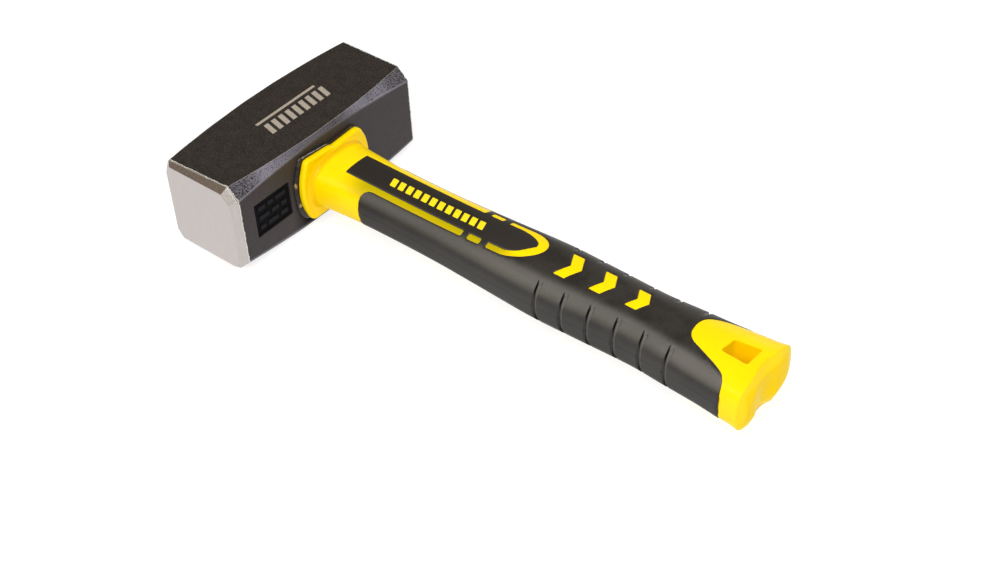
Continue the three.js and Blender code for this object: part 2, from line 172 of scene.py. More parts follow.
HANDLE_TILT = 0.0022  # radians by which the handle droops towards the butt
SKIN_RADIUS = 14.5  # s is the angle round the axis times this
SEAM = SKIN_RADIUS * HALF_TURN / 2  # s of the parting line
SKIN_STEP = 1.3
EDGE_STEPS = (0.05, 0.14, 0.35)  # extra rows of points beside each edge
RIDGE_STEPS = (0.18, 0.4)  # and beside the parting line
GROOVE_STEPS = (0.6, 0.85, 1.1, 1.35, 1.7)  # and beside a groove's middle line, close at its walls
CROWDED = 0.12  # a point of an outline that is nearer to the last one is dropped
ROW_ROOM, GRID_ROOM, GROOVE_ROOM = 0.1, 0.55, 0.5  # room kept round other points, by rows and by the grid
AWAY = 9.0  # stands for the distance to an edge at all points beyond its rows
RING_POINTS = 72  # on half of a closed ring

CAMERA_TURN, CAMERA_HEIGHT, CAMERA_ROLL = 40.712, 42.278, -2.90  # degrees
CAMERA_PLACE = (0.45747, -0.39330, 0.47535)  # metres
CAMERA_LENS = 59.22
SKY_COLOR, SKY_STRENGTH = (1, 0.91, 0.80, 1), 0.36
FLOOR_GLOW, FLOOR_HALF = 0.8, 3.0  # FLOOR_HALF in metres


def settled(points):
    """The handle is seated a hair low, more so towards the butt."""
    points = np.array(points, float)
    points[:, 2] -= HANDLE_TILT * points[:, 0]
    return points


# ---- The handle's form ----------------------------------------------------------------------

def handle_size(x):
    """Half width, half thickness and squareness at x, on a smooth curve through the stations."""
    x = np.asarray(x, float)
    at, size = STATIONS[:, 0], STATIONS[:, 1:]
    before = np.maximum(np.arange(len(at)) - 1, 0)
    after = np.minimum(np.arange(len(at)) + 1, len(at) - 1)
    slopes = (size[after] - size[before]) / (at[after] - at[before])[:, None]
    k = np.clip(np.searchsorted(at, x, "right") - 1, 0, len(at) - 2)
    span = at[k + 1] - at[k]
    t = np.clip((x - at[k]) / span, 0, 1)[..., None]
    span = span[..., None]
    rise = size[k + 1] - size[k]
    first, second = slopes[k] * span, slopes[k + 1] * span
    value = size[k] + t * first + t**2 * (3 * rise - 2 * first - second) + t**3 * (first + second - 2 * rise)
    return np.moveaxis(value, -1, 0)


def polar(turn, half_width, half_height, squareness):
    """(Y, Z) of a superellipse in the direction turn, counted from +Y over the top."""
    c, s = np.cos(turn), np.sin(turn)
    total = np.abs(c / half_width) ** squareness + np.abs(s / half_height) ** squareness
    reach = total ** (-1 / squareness)
    return reach * c, reach * s


def on_handle(x, turn, shrink=0.0):
    """Points on the handle's form, measured from its axis."""
    width, thickness, squareness = handle_size(x)
    y, z = polar(turn, width - shrink, thickness - shrink, squareness)
    return np.stack([x + 0 * turn, y, z], -1)


def lifted(x, turn, lift):
    """Points at a distance above the handle's form."""
    h = 0.02
    across = on_handle(x, turn + h) - on_handle(x, turn - h)
    along = on_handle(x + h, turn) - on_handle(x - h, turn)
    normal = np.cross(across, along)
    normal /= np.linalg.norm(normal, axis=-1, keepdims=True)
    return on_handle(x, turn) + normal * np.asarray(lift)[..., None]


def plan_to_skin(points):
    """Turns points (x, y) seen from above into points (x, s) on the skin."""
    points = np.asarray(points, float)
    x, y = points[:, 0], points[:, 1]
    width, thickness, squareness = handle_size(x)
    share = np.clip(np.abs(y) / width, 0, 1)
    z = thickness * (1 - share**squareness) ** (1 / squareness)
    turn = np.arctan2(z, np.clip(y, -width, width))
    return np.stack([x, (HALF_TURN / 2 - turn) * SKIN_RADIUS], -1)


def up_to_seam(line):
    """The part of a line between the two seams, with its ends on them."""
    middle = line[np.abs(line[:, 1]) < SEAM - 0.2]
    first, last = middle[0], middle[-1]
    return np.vstack([(first[0], -SEAM), middle, (last[0], SEAM)])


# ---- Outlines on the skin -------------------------------------------------------------------

def unit(vector):
    """The vector at length 1."""
    return vector / np.linalg.norm(vector)


def rounded(points, radius, closed=True, step=0.5):
    """A line through the points with round corners, cut into short steps. radius can be a list."""
    points = np.array(points, float)
    count = len(points)
    line = []
    for i, (p, r) in enumerate(zip(points, np.broadcast_to(radius, count))):
        if (not closed and i in (0, count - 1)) or r == 0:
            line.append(p)
            continue
        back, on = unit(points[i - 1] - p), unit(points[(i + 1) % count] - p)
        half = math.acos(np.clip(back @ on, -1, 1)) / 2
        reach = r / math.tan(half)
        centre = p + unit(back + on) * r / math.sin(half)
        start, end = p + back * reach - centre, p + on * reach - centre
        sweep = HALF_TURN - 2 * half
        steps = max(2, round(sweep / 0.4))
        for k in range(steps + 1):
            t = k / steps
            arm = start * math.sin((1 - t) * sweep) + end * math.sin(t * sweep)
            line.append(centre + arm / math.sin(sweep))
    return resample(line, closed, step)


def resample(line, closed, step):
    """Adds points so that no two neighbours are further apart than step, and drops crowded ones."""
    line = [np.array(p, float) for p in line]
    out = []
    pairs = zip(line, line[1:] + line[:1]) if closed else zip(line, line[1:])
    for a, b in pairs:
        parts = max(1, math.ceil(np.linalg.norm(b - a) / step))
        out += [a + (b - a) * k / parts for k in range(parts)]
    if not closed:
        out.append(line[-1])
    keep = [out[0]]
    for p in out[1:]:
        if np.linalg.norm(p - keep[-1]) > CROWDED:
            keep.append(p)
    if not closed:
        keep[-1] = out[-1]
    elif np.linalg.norm(keep[-1] - keep[0]) < CROWDED:
        keep.pop()
    return np.array(keep)


def smooth_through(points, parts):
    """A smooth line through the points."""
    points = np.array(points, float)
    line = []
    for i in range(len(points) - 1):
        p0, p1 = points[max(i - 1, 0)], points[i]
        p2, p3 = points[i + 1], points[min(i + 2, len(points) - 1)]
        for k in range(parts):
            t = k / parts
            line.append(0.5 * (2 * p1 + (p2 - p0) * t + (2 * p0 - 5 * p1 + 4 * p2 - p3) * t**2
                               + (3 * p1 - p0 - 3 * p2 + p3) * t**3))
    return line + [points[-1]]


def neck_line():
    """From seam to seam: the ends of the side panels, both stripes and the start of the dark panel."""
    beyond = 30
    far, near = ([(PANEL_START, STRIPE_IN), (STRIPE_END, STRIPE_IN), (STRIPE_END, outer),
                  (SIDE_START, outer), (SIDE_START, beyond)] for outer in (STRIPE_FAR, STRIPE_OUT))
    corners = [0.5, SMALL_CORNER, SMALL_CORNER, SIDE_CORNER, 0]
    near = [(x, -y) for x, y in near[::-1]]
    return rounded(near + far, corners[::-1] + corners, closed=False)


def loop_line():
    """The yellow loop round the panel's end, as one outline: out round its end and back inside."""
    ends = np.linspace(-HALF_TURN / 2, HALF_TURN / 2, 40)
    outer = [(LOOP_MIDDLE + LOOP_OUT[0] * math.cos(a), LOOP_OUT[1] * math.sin(a) + LOOP_LEAN * math.cos(a))
             for a in ends]
    far, near = smooth_through((LOOP_TIP, *LOOP_FAR), 4), smooth_through((*LOOP_NEAR, LOOP_TIP), 4)
    corner = rounded([outer[0], (LOOP_START, -LOOP_OUT[1]), (LOOP_START, 0)], SMALL_CORNER, closed=False)
    corner = [(x, y) for x, y in corner if y < -LOOP_IN - 0.6]
    line = [*outer, *[(x, -y) for x, y in corner], (LOOP_START, LOOP_IN), *far[::-1], *near[-2::-1],
            (LOOP_START, -LOOP_IN), *corner[::-1]]
    return resample(line, True, 0.5)


def dash_line(side):
    """One short dash between a stripe and the loop."""
    low, high = sorted((side * STRIPE_IN, side * STRIPE_OUT))
    return rounded([(DASH_START, low), (DASH_END, low), (DASH_END, high), (DASH_START, high)], SMALL_CORNER)


def chevron_line(index):
    """One chevron. They get narrower towards the butt."""
    inner = CHEVRON_X + index * CHEVRON_PITCH
    outer = inner + CHEVRON_WIDTH
    span = CHEVRON_SPAN - index * CHEVRON_STEP
    back = CHEVRON_SWEEP * span
    return rounded([(inner, 0), (inner - back, -span), (outer - back, -span),
                    (outer, 0), (outer - back, span), (inner - back, span)], 0.4)


def print_line(index):
    """One slanted bar of the plain pattern printed on the dark panel."""
    x = PRINT_START + index * PRINT_PITCH
    return rounded([(x, PRINT_LOW), (x + PRINT_WIDTH, PRINT_LOW),
                    (x + PRINT_WIDTH - PRINT_SLANT, PRINT_HIGH), (x - PRINT_SLANT, PRINT_HIGH)], 0.3)


def tongue_line():
    """From seam to seam: the edge of the butt's yellow."""
    return resample(smooth_through(TONGUE, 8), False, 0.5)


def groove_points():
    """Rows of points on the skin that follow the finger grooves, close together at their walls."""
    points = []
    for i in range(GROOVES):
        for z in np.linspace(0, GROOVE_FAR + 0.9, 25)[1:]:
            x = groove_middle(i, z)
            width, thickness, squareness = handle_size(x)
            y = width * (1 - (z / thickness) ** squareness) ** (1 / squareness)
            s = SEAM - math.atan2(z, y) * SKIN_RADIUS
            for dx in (*(-step for step in GROOVE_STEPS[::-1]), 0, *GROOVE_STEPS):
                points += [(x + dx, s), (x + dx, -s)]
    return points


def groove_middle(index, z):
    """X of a groove's middle line. Grooves bow towards the head."""
    share = np.minimum(np.abs(z), GROOVE_REACH) / GROOVE_REACH
    return GROOVE_X + index * GROOVE_PITCH - GROOVE_BOW * (1 - share**2)


def smooth_step(value):
    """Runs smoothly from 0 to 1 as the value does."""
    value = np.clip(value, 0, 1)
    return value * value * (3 - 2 * value)


def groove_lift(point):
    """How far the grooves sink the skin at points measured from the axis."""
    x, z = point[:, 0], np.abs(point[:, 2])
    sunk = np.zeros(len(x))
    for i in range(GROOVES):
        across = np.abs(x - groove_middle(i, z))
        past = np.maximum(z - (np.where(point[:, 1] > 0, GROOVE_FAR, GROOVE_REACH) - GROOVE_HALF), 0)
        inside_wall = GROOVE_HALF + 0.1 - np.hypot(across, past)
        sunk = np.maximum(sunk, smooth_step(inside_wall / GROOVE_WALL))
    return -GROOVE_DEPTH * sunk


def inside(points, line):
    """Which points lie inside a closed line."""
    hit = np.zeros(len(points), bool)
    x, y = points[:, 0], points[:, 1]
    for (x0, y0), (x1, y1) in zip(line, np.roll(line, -1, 0)):
        if y0 == y1:
            continue
        hit ^= ((y0 > y) != (y1 > y)) & (x < (x1 - x0) * (y - y0) / (y1 - y0) + x0)
    return hit


RUBBER, PLASTIC, HOLE, PRINT = range(4)  # what a triangle of the skin belongs to


class Skin:
    """The flat sheet of triangles and what each one is made of."""

    def __init__(self):
        neck, tongue = (up_to_seam(plan_to_skin(line)) for line in (neck_line(), tongue_line()))
        closed = [(line, PLASTIC) for line in (loop_line(), dash_line(-1), dash_line(1))]
        closed += [(chevron_line(i), PLASTIC) for i in range(CHEVRONS)]
        closed.append((rounded(HOLE_SHAPE, HOLE_CORNER), HOLE))
        closed += [(print_line(i), PRINT) for i in range(PRINT_BARS)]
        closed = [(plan_to_skin(line), kind) for line, kind in closed]
        self.gather(neck, tongue, closed)
        self.triangulate()
        centre = self.points[self.triangles].mean(1)
        self.kind = np.full(len(centre), RUBBER)
        for line, x in ((neck, NECK_START - 5), (tongue, SKIN_END + 5)):
            self.kind[inside(centre, np.vstack([line, (x, SEAM), (x, -SEAM)]))] = PLASTIC
        for line, kind in closed:
            self.kind[inside(centre, line)] = kind

    def gather(self, neck, tongue, closed):
        """Collects the points: every edge with its rows, the ends and the seams, the grooves, and a grid."""
        self.seeds, self.edges, self.depth = [], [], []  # depth is the distance to an edge
        lines = [(neck, False, True), (tongue, False, True)]
        lines += [(line, True, kind != PRINT) for line, kind in closed]
        for line, is_closed, _ in lines:
            first = len(self.seeds)
            self.add_seeds(line, 0.0)
            last = len(line) if is_closed else len(line) - 1
            self.edges += [(first + i, first + (i + 1) % len(line)) for i in range(last)]
        near_edge = kd_tree(np.vstack([dense(line) for line, *_ in lines]))
        for line, is_closed, has_rows in lines:
            if not has_rows:
                continue
            normal = normals(line, is_closed)
            for distance in EDGE_STEPS:
                for side in (-1, 1):
                    self.add_seeds([p for p in line + side * distance * normal if abs(p[1]) < SEAM - 0.05
                                    and near_edge.find((*p, 0))[2] > distance * 0.9], distance)
        taken = kd_tree(self.seeds)
        grooves = groove_points()
        near_groove = kd_tree(grooves)
        for points, room in ((self.border(neck[0, 0], tongue[0, 0]), ROW_ROOM), (grooves, ROW_ROOM),
                             (self.grid(near_groove), GRID_ROOM)):
            self.add_seeds([p for p in points if taken.find((*p, 0))[2] > room], AWAY)

    def add_seeds(self, points, depth):
        self.seeds += [tuple(p) for p in points]
        self.depth += [depth] * len(points)

    def border(self, *edge_ends):
        """Points along both ends, both seams and the ridges beside them."""
        points = [(x, s) for x in (NECK_START, SKIN_END) for s in np.linspace(-SEAM, SEAM, RING_POINTS + 1)]
        columns = np.arange(NECK_START + SKIN_STEP, SKIN_END - 0.5, SKIN_STEP)
        clear = [x for x in columns if min(abs(x - end) for end in edge_ends) > 0.5]
        points += [(x, s) for x in (*clear, *edge_ends) for s in (-SEAM, SEAM)]
        return points + [(x, side * (SEAM - d)) for x in columns for side in (-1, 1) for d in RIDGE_STEPS]

    def grid(self, near_groove):
        """Points over the whole skin, but for the grooves."""
        points = []
        for column, x in enumerate(np.arange(NECK_START + SKIN_STEP, SKIN_END - SKIN_STEP / 2, SKIN_STEP)):
            shift = SKIN_STEP / 2 if column % 2 else 0
            for s in np.arange(-SEAM + SKIN_STEP * 0.9 + shift, SEAM - SKIN_STEP * 0.7, SKIN_STEP):
                if near_groove.find((x, s, 0))[2] > GROOVE_ROOM:
                    points.append((x, s))
        return points

    def triangulate(self):
        """Triangles that keep to every edge, and each point's distance to the nearest one."""
        points, _, triangles, origins, *_ = delaunay_2d_cdt(
            [Vector(p) for p in self.seeds], self.edges, [], 0, 1e-5, True)
        self.points, triangles = np.array([tuple(p) for p in points]), np.array(triangles)
        a, b, c = (self.points[triangles[:, i]] for i in range(3))
        area = np.cross(b - a, c - a)
        triangles[area > 0] = triangles[area > 0][:, ::-1]
        self.triangles = triangles[np.abs(area) > 1e-7]
        self.edge = np.array([min((self.depth[i] for i in origin), default=0.0) for origin in origins])


def normals(line, closed=True):
    """Unit vectors across a line, at each of its points."""
    along = np.roll(line, -1, 0) - np.roll(line, 1, 0) if closed else np.gradient(line, axis=0)
    across = np.stack([-along[:, 1], along[:, 0]], -1)
    return across / np.linalg.norm(across, axis=1, keepdims=True)


def kd_tree(points):
    """A search tree over points of the skin."""
    tree = KDTree(len(points))
    for i, (x, s) in enumerate(points):
        tree.insert((x, s, 0), i)
    tree.balance()
    return tree


def dense(line):
    """Many points along a line, for measuring distances to it."""
    closed = np.linalg.norm(line[0] - line[-1]) < 2
    following = np.roll(line, -1, 0) if closed else np.vstack([line[1:], line[-1:]])
    return np.vstack([line + (following - line) * t for t in (0, 0.25, 0.5, 0.75)])


# ---- Meshes ---------------------------------------------------------------------------------

class Shell:
    """Points and faces of one piece, in millimetres, while it is put together."""

    def __init__(self):
        self.points, self.faces, self.kinds = [], [], []

    def add_points(self, points):
        first = len(self.points)
        self.points += [tuple(p) for p in points]
        return list(range(first, len(self.points)))

    def add_face(self, face, kind=0):
        self.faces.append(tuple(int(i) for i in face))
        self.kinds.append(kind)

    def join_rings(self, one, two):
        for i in range(len(one)):
            j = (i + 1) % len(one)
            self.add_face((one[i], one[j], two[j], two[i]))

    def extend(self, ring, points):
        """Adds the next ring of points, joins it to the last one and gives its numbers."""
        following = self.add_points(points)
        self.join_rings(ring, following)
        return following

    def close_ring(self, ring, centre):
        middle = self.add_points([centre])[0]
        for i in range(len(ring)):
            self.add_face((ring[i], ring[(i + 1) % len(ring)], middle))

    def loft(self, rings, first_centre=None, last_centre=None):
        """Joins rings of points in turn, and closes both ends."""
        numbers = [self.add_points(ring) for ring in rings]
        for one, two in zip(numbers, numbers[1:]):
            self.join_rings(one, two)
        if first_centre is None:
            self.add_face(numbers[0])
            self.add_face(numbers[-1])
        else:
            self.close_ring(numbers[0], first_centre)
            self.close_ring(numbers[-1], last_centre)

    def mesh(self, name):
        """A closed mesh in metres, with its faces pointing out."""
        mesh = bpy.data.meshes.new(name)
        mesh.from_pydata((np.asarray(self.points) * MM).tolist(), [], self.faces)
        work = bmesh.new()
        work.from_mesh(mesh)
        bmesh.ops.recalc_face_normals(work, faces=work.faces)
        work.to_mesh(mesh)
        work.free()
        return mesh


def lofted(name, rings):
    """A closed mesh through rings of points."""
    shell = Shell()
    shell.loft(rings)
    return shell.mesh(name)


def link(name, data):
    """A new object in the scene."""
    thing = bpy.data.objects.new(name, data)
    bpy.context.scene.collection.objects.link(thing)
    return thing


def add_piece(name, mesh, materials, replaced=(), kinds=None, smooth_angle=None):
    """A visible piece. kinds gives each face's material."""
    mesh.name = name
    mesh.materials.clear()
    for material in materials:
        mesh.materials.append(material)
    if kinds is not None:
        mesh.polygons.foreach_set("material_index", np.asarray(kinds, np.int32))
    for face in mesh.polygons:
        face.use_smooth = True
    if smooth_angle:
        mesh.set_sharp_from_angle(angle=math.radians(smooth_angle))
    piece = link(name, mesh)
    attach(piece, "root")
    if replaced:
        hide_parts(*replaced)
    return piece


def applied(mesh, kind, **settings):
    """The mesh after a modifier."""
    helper = link("helper", mesh)
    modifier = helper.modifiers.new(kind, kind)
    for key, value in settings.items():
        setattr(modifier, key, value)
    graph = bpy.context.evaluated_depsgraph_get()
    result = bpy.data.meshes.new_from_object(helper.evaluated_get(graph))
    bpy.data.objects.remove(helper)
    return result


def cut(mesh, *cutters):
    """The mesh less some closed solids."""
    for cutter in cutters:
        tool = link("cutter", cutter)
        mesh = applied(mesh, "BOOLEAN", operation="DIFFERENCE", solver="MANIFOLD", object=tool)
        bpy.data.objects.remove(tool)
    return mesh


def raised(points):
    """Turns heights from the axis into heights above the floor."""
    return points + np.array((0, 0, AXIS))


def ring_at(x, y, z):
    """A ring of points at one X, with Y and Z measured from the axis."""
    return raised(np.stack([x + 0 * y, y, z], -1))


def edge_drop(distance, radius):
    """How far a rounded edge falls at a distance from it."""
    inward = np.clip(radius - distance, 0, radius)
    return radius - np.sqrt(radius**2 - inward**2)


# ---- Grip and jacket ------------------------------------------------------------------------

class HandleSheet:
    """The skin at given heights above the handle's form, on the upper half and mirrored below."""

    def __init__(self, skin):
        self.skin = skin
        self.x, self.s = skin.points[:, 0], skin.points[:, 1]
        self.turn = HALF_TURN / 2 - self.s / SKIN_RADIUS
        self.on_seam = np.abs(np.abs(self.s) - SEAM) < 1e-4
        self.ridge = np.clip(1 - (SEAM - np.abs(self.s)) / RIDGE_HALF, 0, 1)  # of the parting line

    def layer(self, shell, lift, chosen):
        """Adds the chosen triangles' points at these heights. Gives their numbers above and below."""
        wanted = np.zeros(len(self.x), bool)
        wanted[self.skin.triangles[chosen].ravel()] = True
        place = lifted(self.x, self.turn, lift + 0 * self.x)
        place[self.on_seam, 2] = 0
        upper = np.full(len(place), -1)
        upper[wanted] = shell.add_points(raised(place[wanted]))
        lower = upper.copy()
        below = wanted & ~self.on_seam
        lower[below] = shell.add_points(raised(place[below] * (1, 1, -1)))
        return upper, lower

    def cover(self, shell, chosen, numbers, flip=False, kinds=None):
        """Faces for the chosen triangles on both halves."""
        upper, lower = numbers
        for i in np.flatnonzero(chosen):
            triangle = self.skin.triangles[i]
            kind = 0 if kinds is None else int(kinds[i])
            one, two = upper[triangle], lower[triangle[::-1]]
            if flip:
                one, two = one[::-1], two[::-1]
            shell.add_face(one, kind)
            shell.add_face(two, kind)

    def wall(self, shell, edges, outer, inner):
        """Faces between two layers, along some edges."""
        for a, b in edges:
            shell.add_face((outer[0][b], outer[0][a], inner[0][a], inner[0][b]))
            shell.add_face((outer[1][a], outer[1][b], inner[1][b], inner[1][a]))

    def rim(self, chosen):
        """Edges of the chosen triangles that no other chosen triangle shares, seams left out."""
        edges = {}
        for a, b, c in self.skin.triangles[chosen]:
            for start, end in ((a, b), (b, c), (c, a)):
                if (end, start) in edges:
                    del edges[(end, start)]
                else:
                    edges[(start, end)] = True
        return [(a, b) for a, b in edges if not (self.on_seam[a] and self.on_seam[b])]


def make_grip(skin):
    """The soft layer, with its windows, grooves and printed bars."""
    sheet = HandleSheet(skin)
    chosen = (skin.kind == RUBBER) | (skin.kind == PRINT)
    grooves = groove_lift(on_handle(sheet.x, sheet.turn))
    shell = Shell()
    lift = RUBBER_PROUD - edge_drop(skin.edge, RUBBER_EDGE) + grooves + RUBBER_RIDGE * sheet.ridge
    outer = sheet.layer(shell, lift, chosen)
    inner = sheet.layer(shell, -RUBBER_DEPTH, chosen)
    sheet.cover(shell, chosen, outer, kinds=skin.kind == PRINT)
    sheet.cover(shell, chosen, inner, flip=True)
    sheet.wall(shell, sheet.rim(chosen), outer, inner)
    shell.points = settled(shell.points)
    add_piece("grip_rubber", shell.mesh("grip"), [rubber_material(), print_material()],
              ["soft_grip"], kinds=shell.kinds)


def full_ring(sheet, x, numbers):
    """The closed ring of points at one end of the skin, and the direction of each."""
    at_end = np.flatnonzero(np.abs(sheet.x - x) < 1e-4)
    at_end = at_end[np.argsort(sheet.s[at_end])]
    upper, lower = (list(half[at_end]) for half in numbers)
    turn = sheet.turn[at_end]
    return upper + lower[-2:0:-1], np.concatenate([turn, -turn[-2:0:-1]])


def collar_line():
    """Outline of the collar in Y and Z. Its upper edge steps down in the middle."""
    heights = np.linspace(-COLLAR_SIDE_HALF, COLLAR_SIDE_HALF, 7)
    side = COLLAR_SIDE - COLLAR_SIDE_RADIUS + np.sqrt(COLLAR_SIDE_RADIUS**2 - heights**2)
    right = list(zip(side, heights))
    left = [(-y, z) for y, z in right[::-1]]
    bottom = [(-COLLAR_FOOT, COLLAR_BOTTOM), (COLLAR_FOOT, COLLAR_BOTTOM)]
    plain = [0] * len(right)
    corners = [*plain, *COLLAR_TOP_CORNERS[::-1], *plain, COLLAR_CORNER, COLLAR_CORNER]
    return rounded([*right, *COLLAR_TOP[::-1], *left, *bottom], corners, step=0.4)


def collar_ring(x, turn, shrink=0.0, spread=0.0):
    """Ring on the collar's outline, moved in by a distance and then out from the axis by another."""
    line = collar_line()
    line = line + shrink * normals(line)
    angle = np.arctan2(line[:, 1], line[:, 0]) % (2 * HALF_TURN)
    order = np.argsort(angle)
    reach = np.interp(turn % (2 * HALF_TURN), angle[order], np.linalg.norm(line, axis=1)[order],
                      period=2 * HALF_TURN) + spread
    return ring_at(x, reach * np.cos(turn), reach * np.sin(turn))


def add_collar(shell, ring, turn):
    """Runs the neck out into the collar: a fillet, the front, the rounded edge and the back."""
    quarter = HALF_TURN / 2
    for angle in np.linspace(0, quarter, 6):
        x = COLLAR_FRONT + NECK_FILLET * (1 - math.sin(angle))
        ring = shell.extend(ring, raised(on_handle(x, turn, -NECK_FILLET * (1 - math.cos(angle)))))
    inner = raised(on_handle(COLLAR_FRONT, turn, -NECK_FILLET))
    outer = collar_ring(COLLAR_FRONT, turn, COLLAR_EDGE)
    for share in (0.35, 0.7):
        ring = shell.extend(ring, inner + (outer - inner) * share)
    profile = [(COLLAR_FRONT - COLLAR_EDGE * (1 - math.cos(a)), COLLAR_EDGE * (1 - math.sin(a)))
               for a in np.linspace(0, quarter, 7)]
    profile += [(COLLAR_BACK + 0.5, 0), (COLLAR_BACK + 0.15, 0.15), (COLLAR_BACK, 0.5)]
    for x, shrink in profile:
        ring = shell.extend(ring, collar_ring(x, turn, shrink))
    shell.close_ring(ring, (COLLAR_BACK, 0, AXIS))


def sunk_in_valley(points, share):
    """Sinks points of the butt's end by a share of the shallow valley down it, but for the ridge."""
    across = 1 - ((points[:, 1] - VALLEY_MIDDLE) / VALLEY_HALF) ** 2
    depth = (VALLEY_DEPTH - VALLEY_SLOPE * points[:, 2]) * (across + np.sqrt(across**2 + 0.01)) / 2
    ridge = END_RIDGE * (np.abs(points[:, 2]) < 0.01)
    return points + (ridge - share * depth)[:, None] * (1, 0, 0)


def add_butt_end(shell, ring, turn):
    """The butt's end: a crisp edge, the sloping band inside it, and the face with its valley."""
    for share in (0.4, 0.7, 0.9):
        points = on_handle(SKIN_END + (BUTT_EDGE - SKIN_END) * share, turn)
        ring = shell.extend(ring, raised(sunk_in_valley(points, share * share)))
    steps = [(inset, BUTT_EDGE - 0.15 + inset) for inset in (0, 0.06, 0.2)]
    low = BUTT_EDGE + 0.05
    steps += [(BUTT_INSET * share, low + (BUTT_END - low) * rise) for share, rise in BUTT_BAND]
    for inset, x in steps:
        flat = on_handle(BUTT_EDGE, turn, inset)
        flat[:, 0] = x
        ring = shell.extend(ring, raised(sunk_in_valley(flat, 1)))
    for share in (0.88, 0.76, 0.64, 0.52, 0.4, 0.28, 0.16, 0.06):
        ring = shell.extend(ring, raised(sunk_in_valley(flat * (1, share, share), 1)))
    shell.close_ring(ring, (BUTT_END - VALLEY_DEPTH + 0.1, 0, AXIS))


def make_jacket(skin):
    """The yellow moulding: neck, stripes and butt at full height, and the waist under the soft layer."""
    sheet = HandleSheet(skin)
    plastic = skin.kind == PLASTIC
    covered = (skin.kind == RUBBER) | (skin.kind == PRINT)
    shell = Shell()
    top = sheet.layer(shell, PLASTIC_RIDGE * sheet.ridge - edge_drop(skin.edge, PLASTIC_EDGE), plastic)
    waist = sheet.layer(shell, -WAIST_DEPTH, covered)
    sheet.cover(shell, plastic, top)
    sheet.cover(shell, covered, waist)
    covered_rim = set(sheet.rim(covered))
    sheet.wall(shell, [(a, b) for a, b in sheet.rim(plastic) if (b, a) in covered_rim], top, waist)
    add_hole_wall(shell, sheet, top)
    add_collar(shell, *full_ring(sheet, NECK_START, top))
    add_butt_end(shell, *full_ring(sheet, SKIN_END, top))
    shell.points = settled(shell.points)
    mesh = shell.mesh("jacket")
    add_piece("jacket_plastic", mesh, [plastic_material()], ["handle_jacket"])


def add_hole_wall(shell, sheet, top):
    """The wall of the hanging hole, from the upper skin to the lower one."""
    edges = dict(sheet.rim(sheet.skin.kind == HOLE))
    loop = [next(iter(edges))]
    while edges[loop[-1]] != loop[0]:
        loop.append(edges[loop[-1]])
    ring, last = ([half[i] for i in loop] for half in top)
    high, low = (np.array([shell.points[i] for i in half]) for half in (ring, last))
    middle = high.mean(0)[:2]
    for share in (0.03, 0.1, 0.25, 0.5, 0.75, 0.9, 0.97):
        points = high + (low - high) * share
        narrow = 1 - HOLE_DRAFT * (1 - abs(2 * share - 1))
        points[:, :2] = middle + (points[:, :2] - middle) * narrow
        ring = shell.extend(ring, points)
    shell.join_rings(ring, last)


# ---- Head, resin and core -------------------------------------------------------------------

def octagon(y, half_width, half_height, legs):
    """Eight-sided ring across Y. Each corner has a leg of its own."""
    a, b, c, d = legs
    return [(x, y, AXIS + z) for x, z in (
        (half_width, half_height - a), (half_width, b - half_height),
        (half_width - b, -half_height), (c - half_width, -half_height),
        (-half_width, c - half_height), (-half_width, half_height - d),
        (d - half_width, half_height), (half_width - a, half_height))]


def head_blank():
    """The forging: long chamfers that widen in an arc, ground a little unevenly by hand."""
    half_x, half_y, half_z = HEAD_HALF
    rings = []
    for along in np.linspace(-1, 1, 33):
        leg = CHAMFER_MIDDLE + (CHAMFER_END - CHAMFER_MIDDLE) * along**2
        legs = [leg + CHAMFER_WAVE * noise.noise((along * 4, corner * 7.3, 0)) * (1 - along**8)
                for corner in range(4)]
        rings.append(octagon(along * (half_y - FACE_BEVEL), half_x, half_z, legs))
    rings[0] = [(x, y + back, z) for (x, y, z), back in zip(rings[0], GRIND_EDGE)]
    leg = CHAMFER_END - FACE_INSET * (2 - math.sqrt(2))
    near, far = (octagon(y, half_x - FACE_INSET, half_z - FACE_INSET, [leg + more, leg, leg, leg])
                 for y, more in ((-half_y, 0), (half_y, FAR_CORNER)))
    for point, short in zip((5, 4), GRIND_FACE):
        x, y, z = near[point]
        near[point] = (x + short, y, z)
    return lofted("blank", [near, *rings, far])


def eye_ring(x, inset=0.0, count=2 * RING_POINTS):
    """The eye's section at X, which widens towards the far end."""
    share = (HEAD_HALF[0] - x) / (2 * HEAD_HALF[0])
    half_y, half_z = (near + (far - near) * share - inset for near, far in zip(EYE_NEAR, EYE_FAR))
    turn = np.linspace(0, 2 * HALF_TURN, count, endpoint=False)
    return ring_at(x, *polar(turn, half_y, half_z, EYE_SQUARENESS))


def stamp_depths(yy, zz):
    """Depth of the stamped panel at points measured from its middle: a pit with bars left standing."""
    border = np.minimum(STAMP_WIDTH / 2 - np.abs(yy), STAMP_HEIGHT / 2 - np.abs(zz))
    above = 0.15
    depth = (STAMP_DEPTH + above) * smooth_step(border / 0.5) - above
    total = sum(BAR_LENGTHS) + BAR_SPACE * (len(BAR_LENGTHS) - 1)
    for row in range(len(BAR_LENGTHS)):
        left = -total / 2
        for length in BAR_LENGTHS[row:] + BAR_LENGTHS[:row]:
            inset = np.minimum(length / 2 - np.abs(yy - left - length / 2),
                               BAR_WIDTH / 2 - np.abs(zz - (row - 1) * BAR_PITCH))
            depth -= BAR_HEIGHT * smooth_step((inset + 0.15) / 0.4)
            left += length + BAR_SPACE
    pits = np.array([noise.noise((a * 1.3, b * 1.3, 5)) for a, b in zip(yy.ravel(), zz.ravel())])
    return depth + 0.05 * pits.reshape(depth.shape) * (border > 0.4)


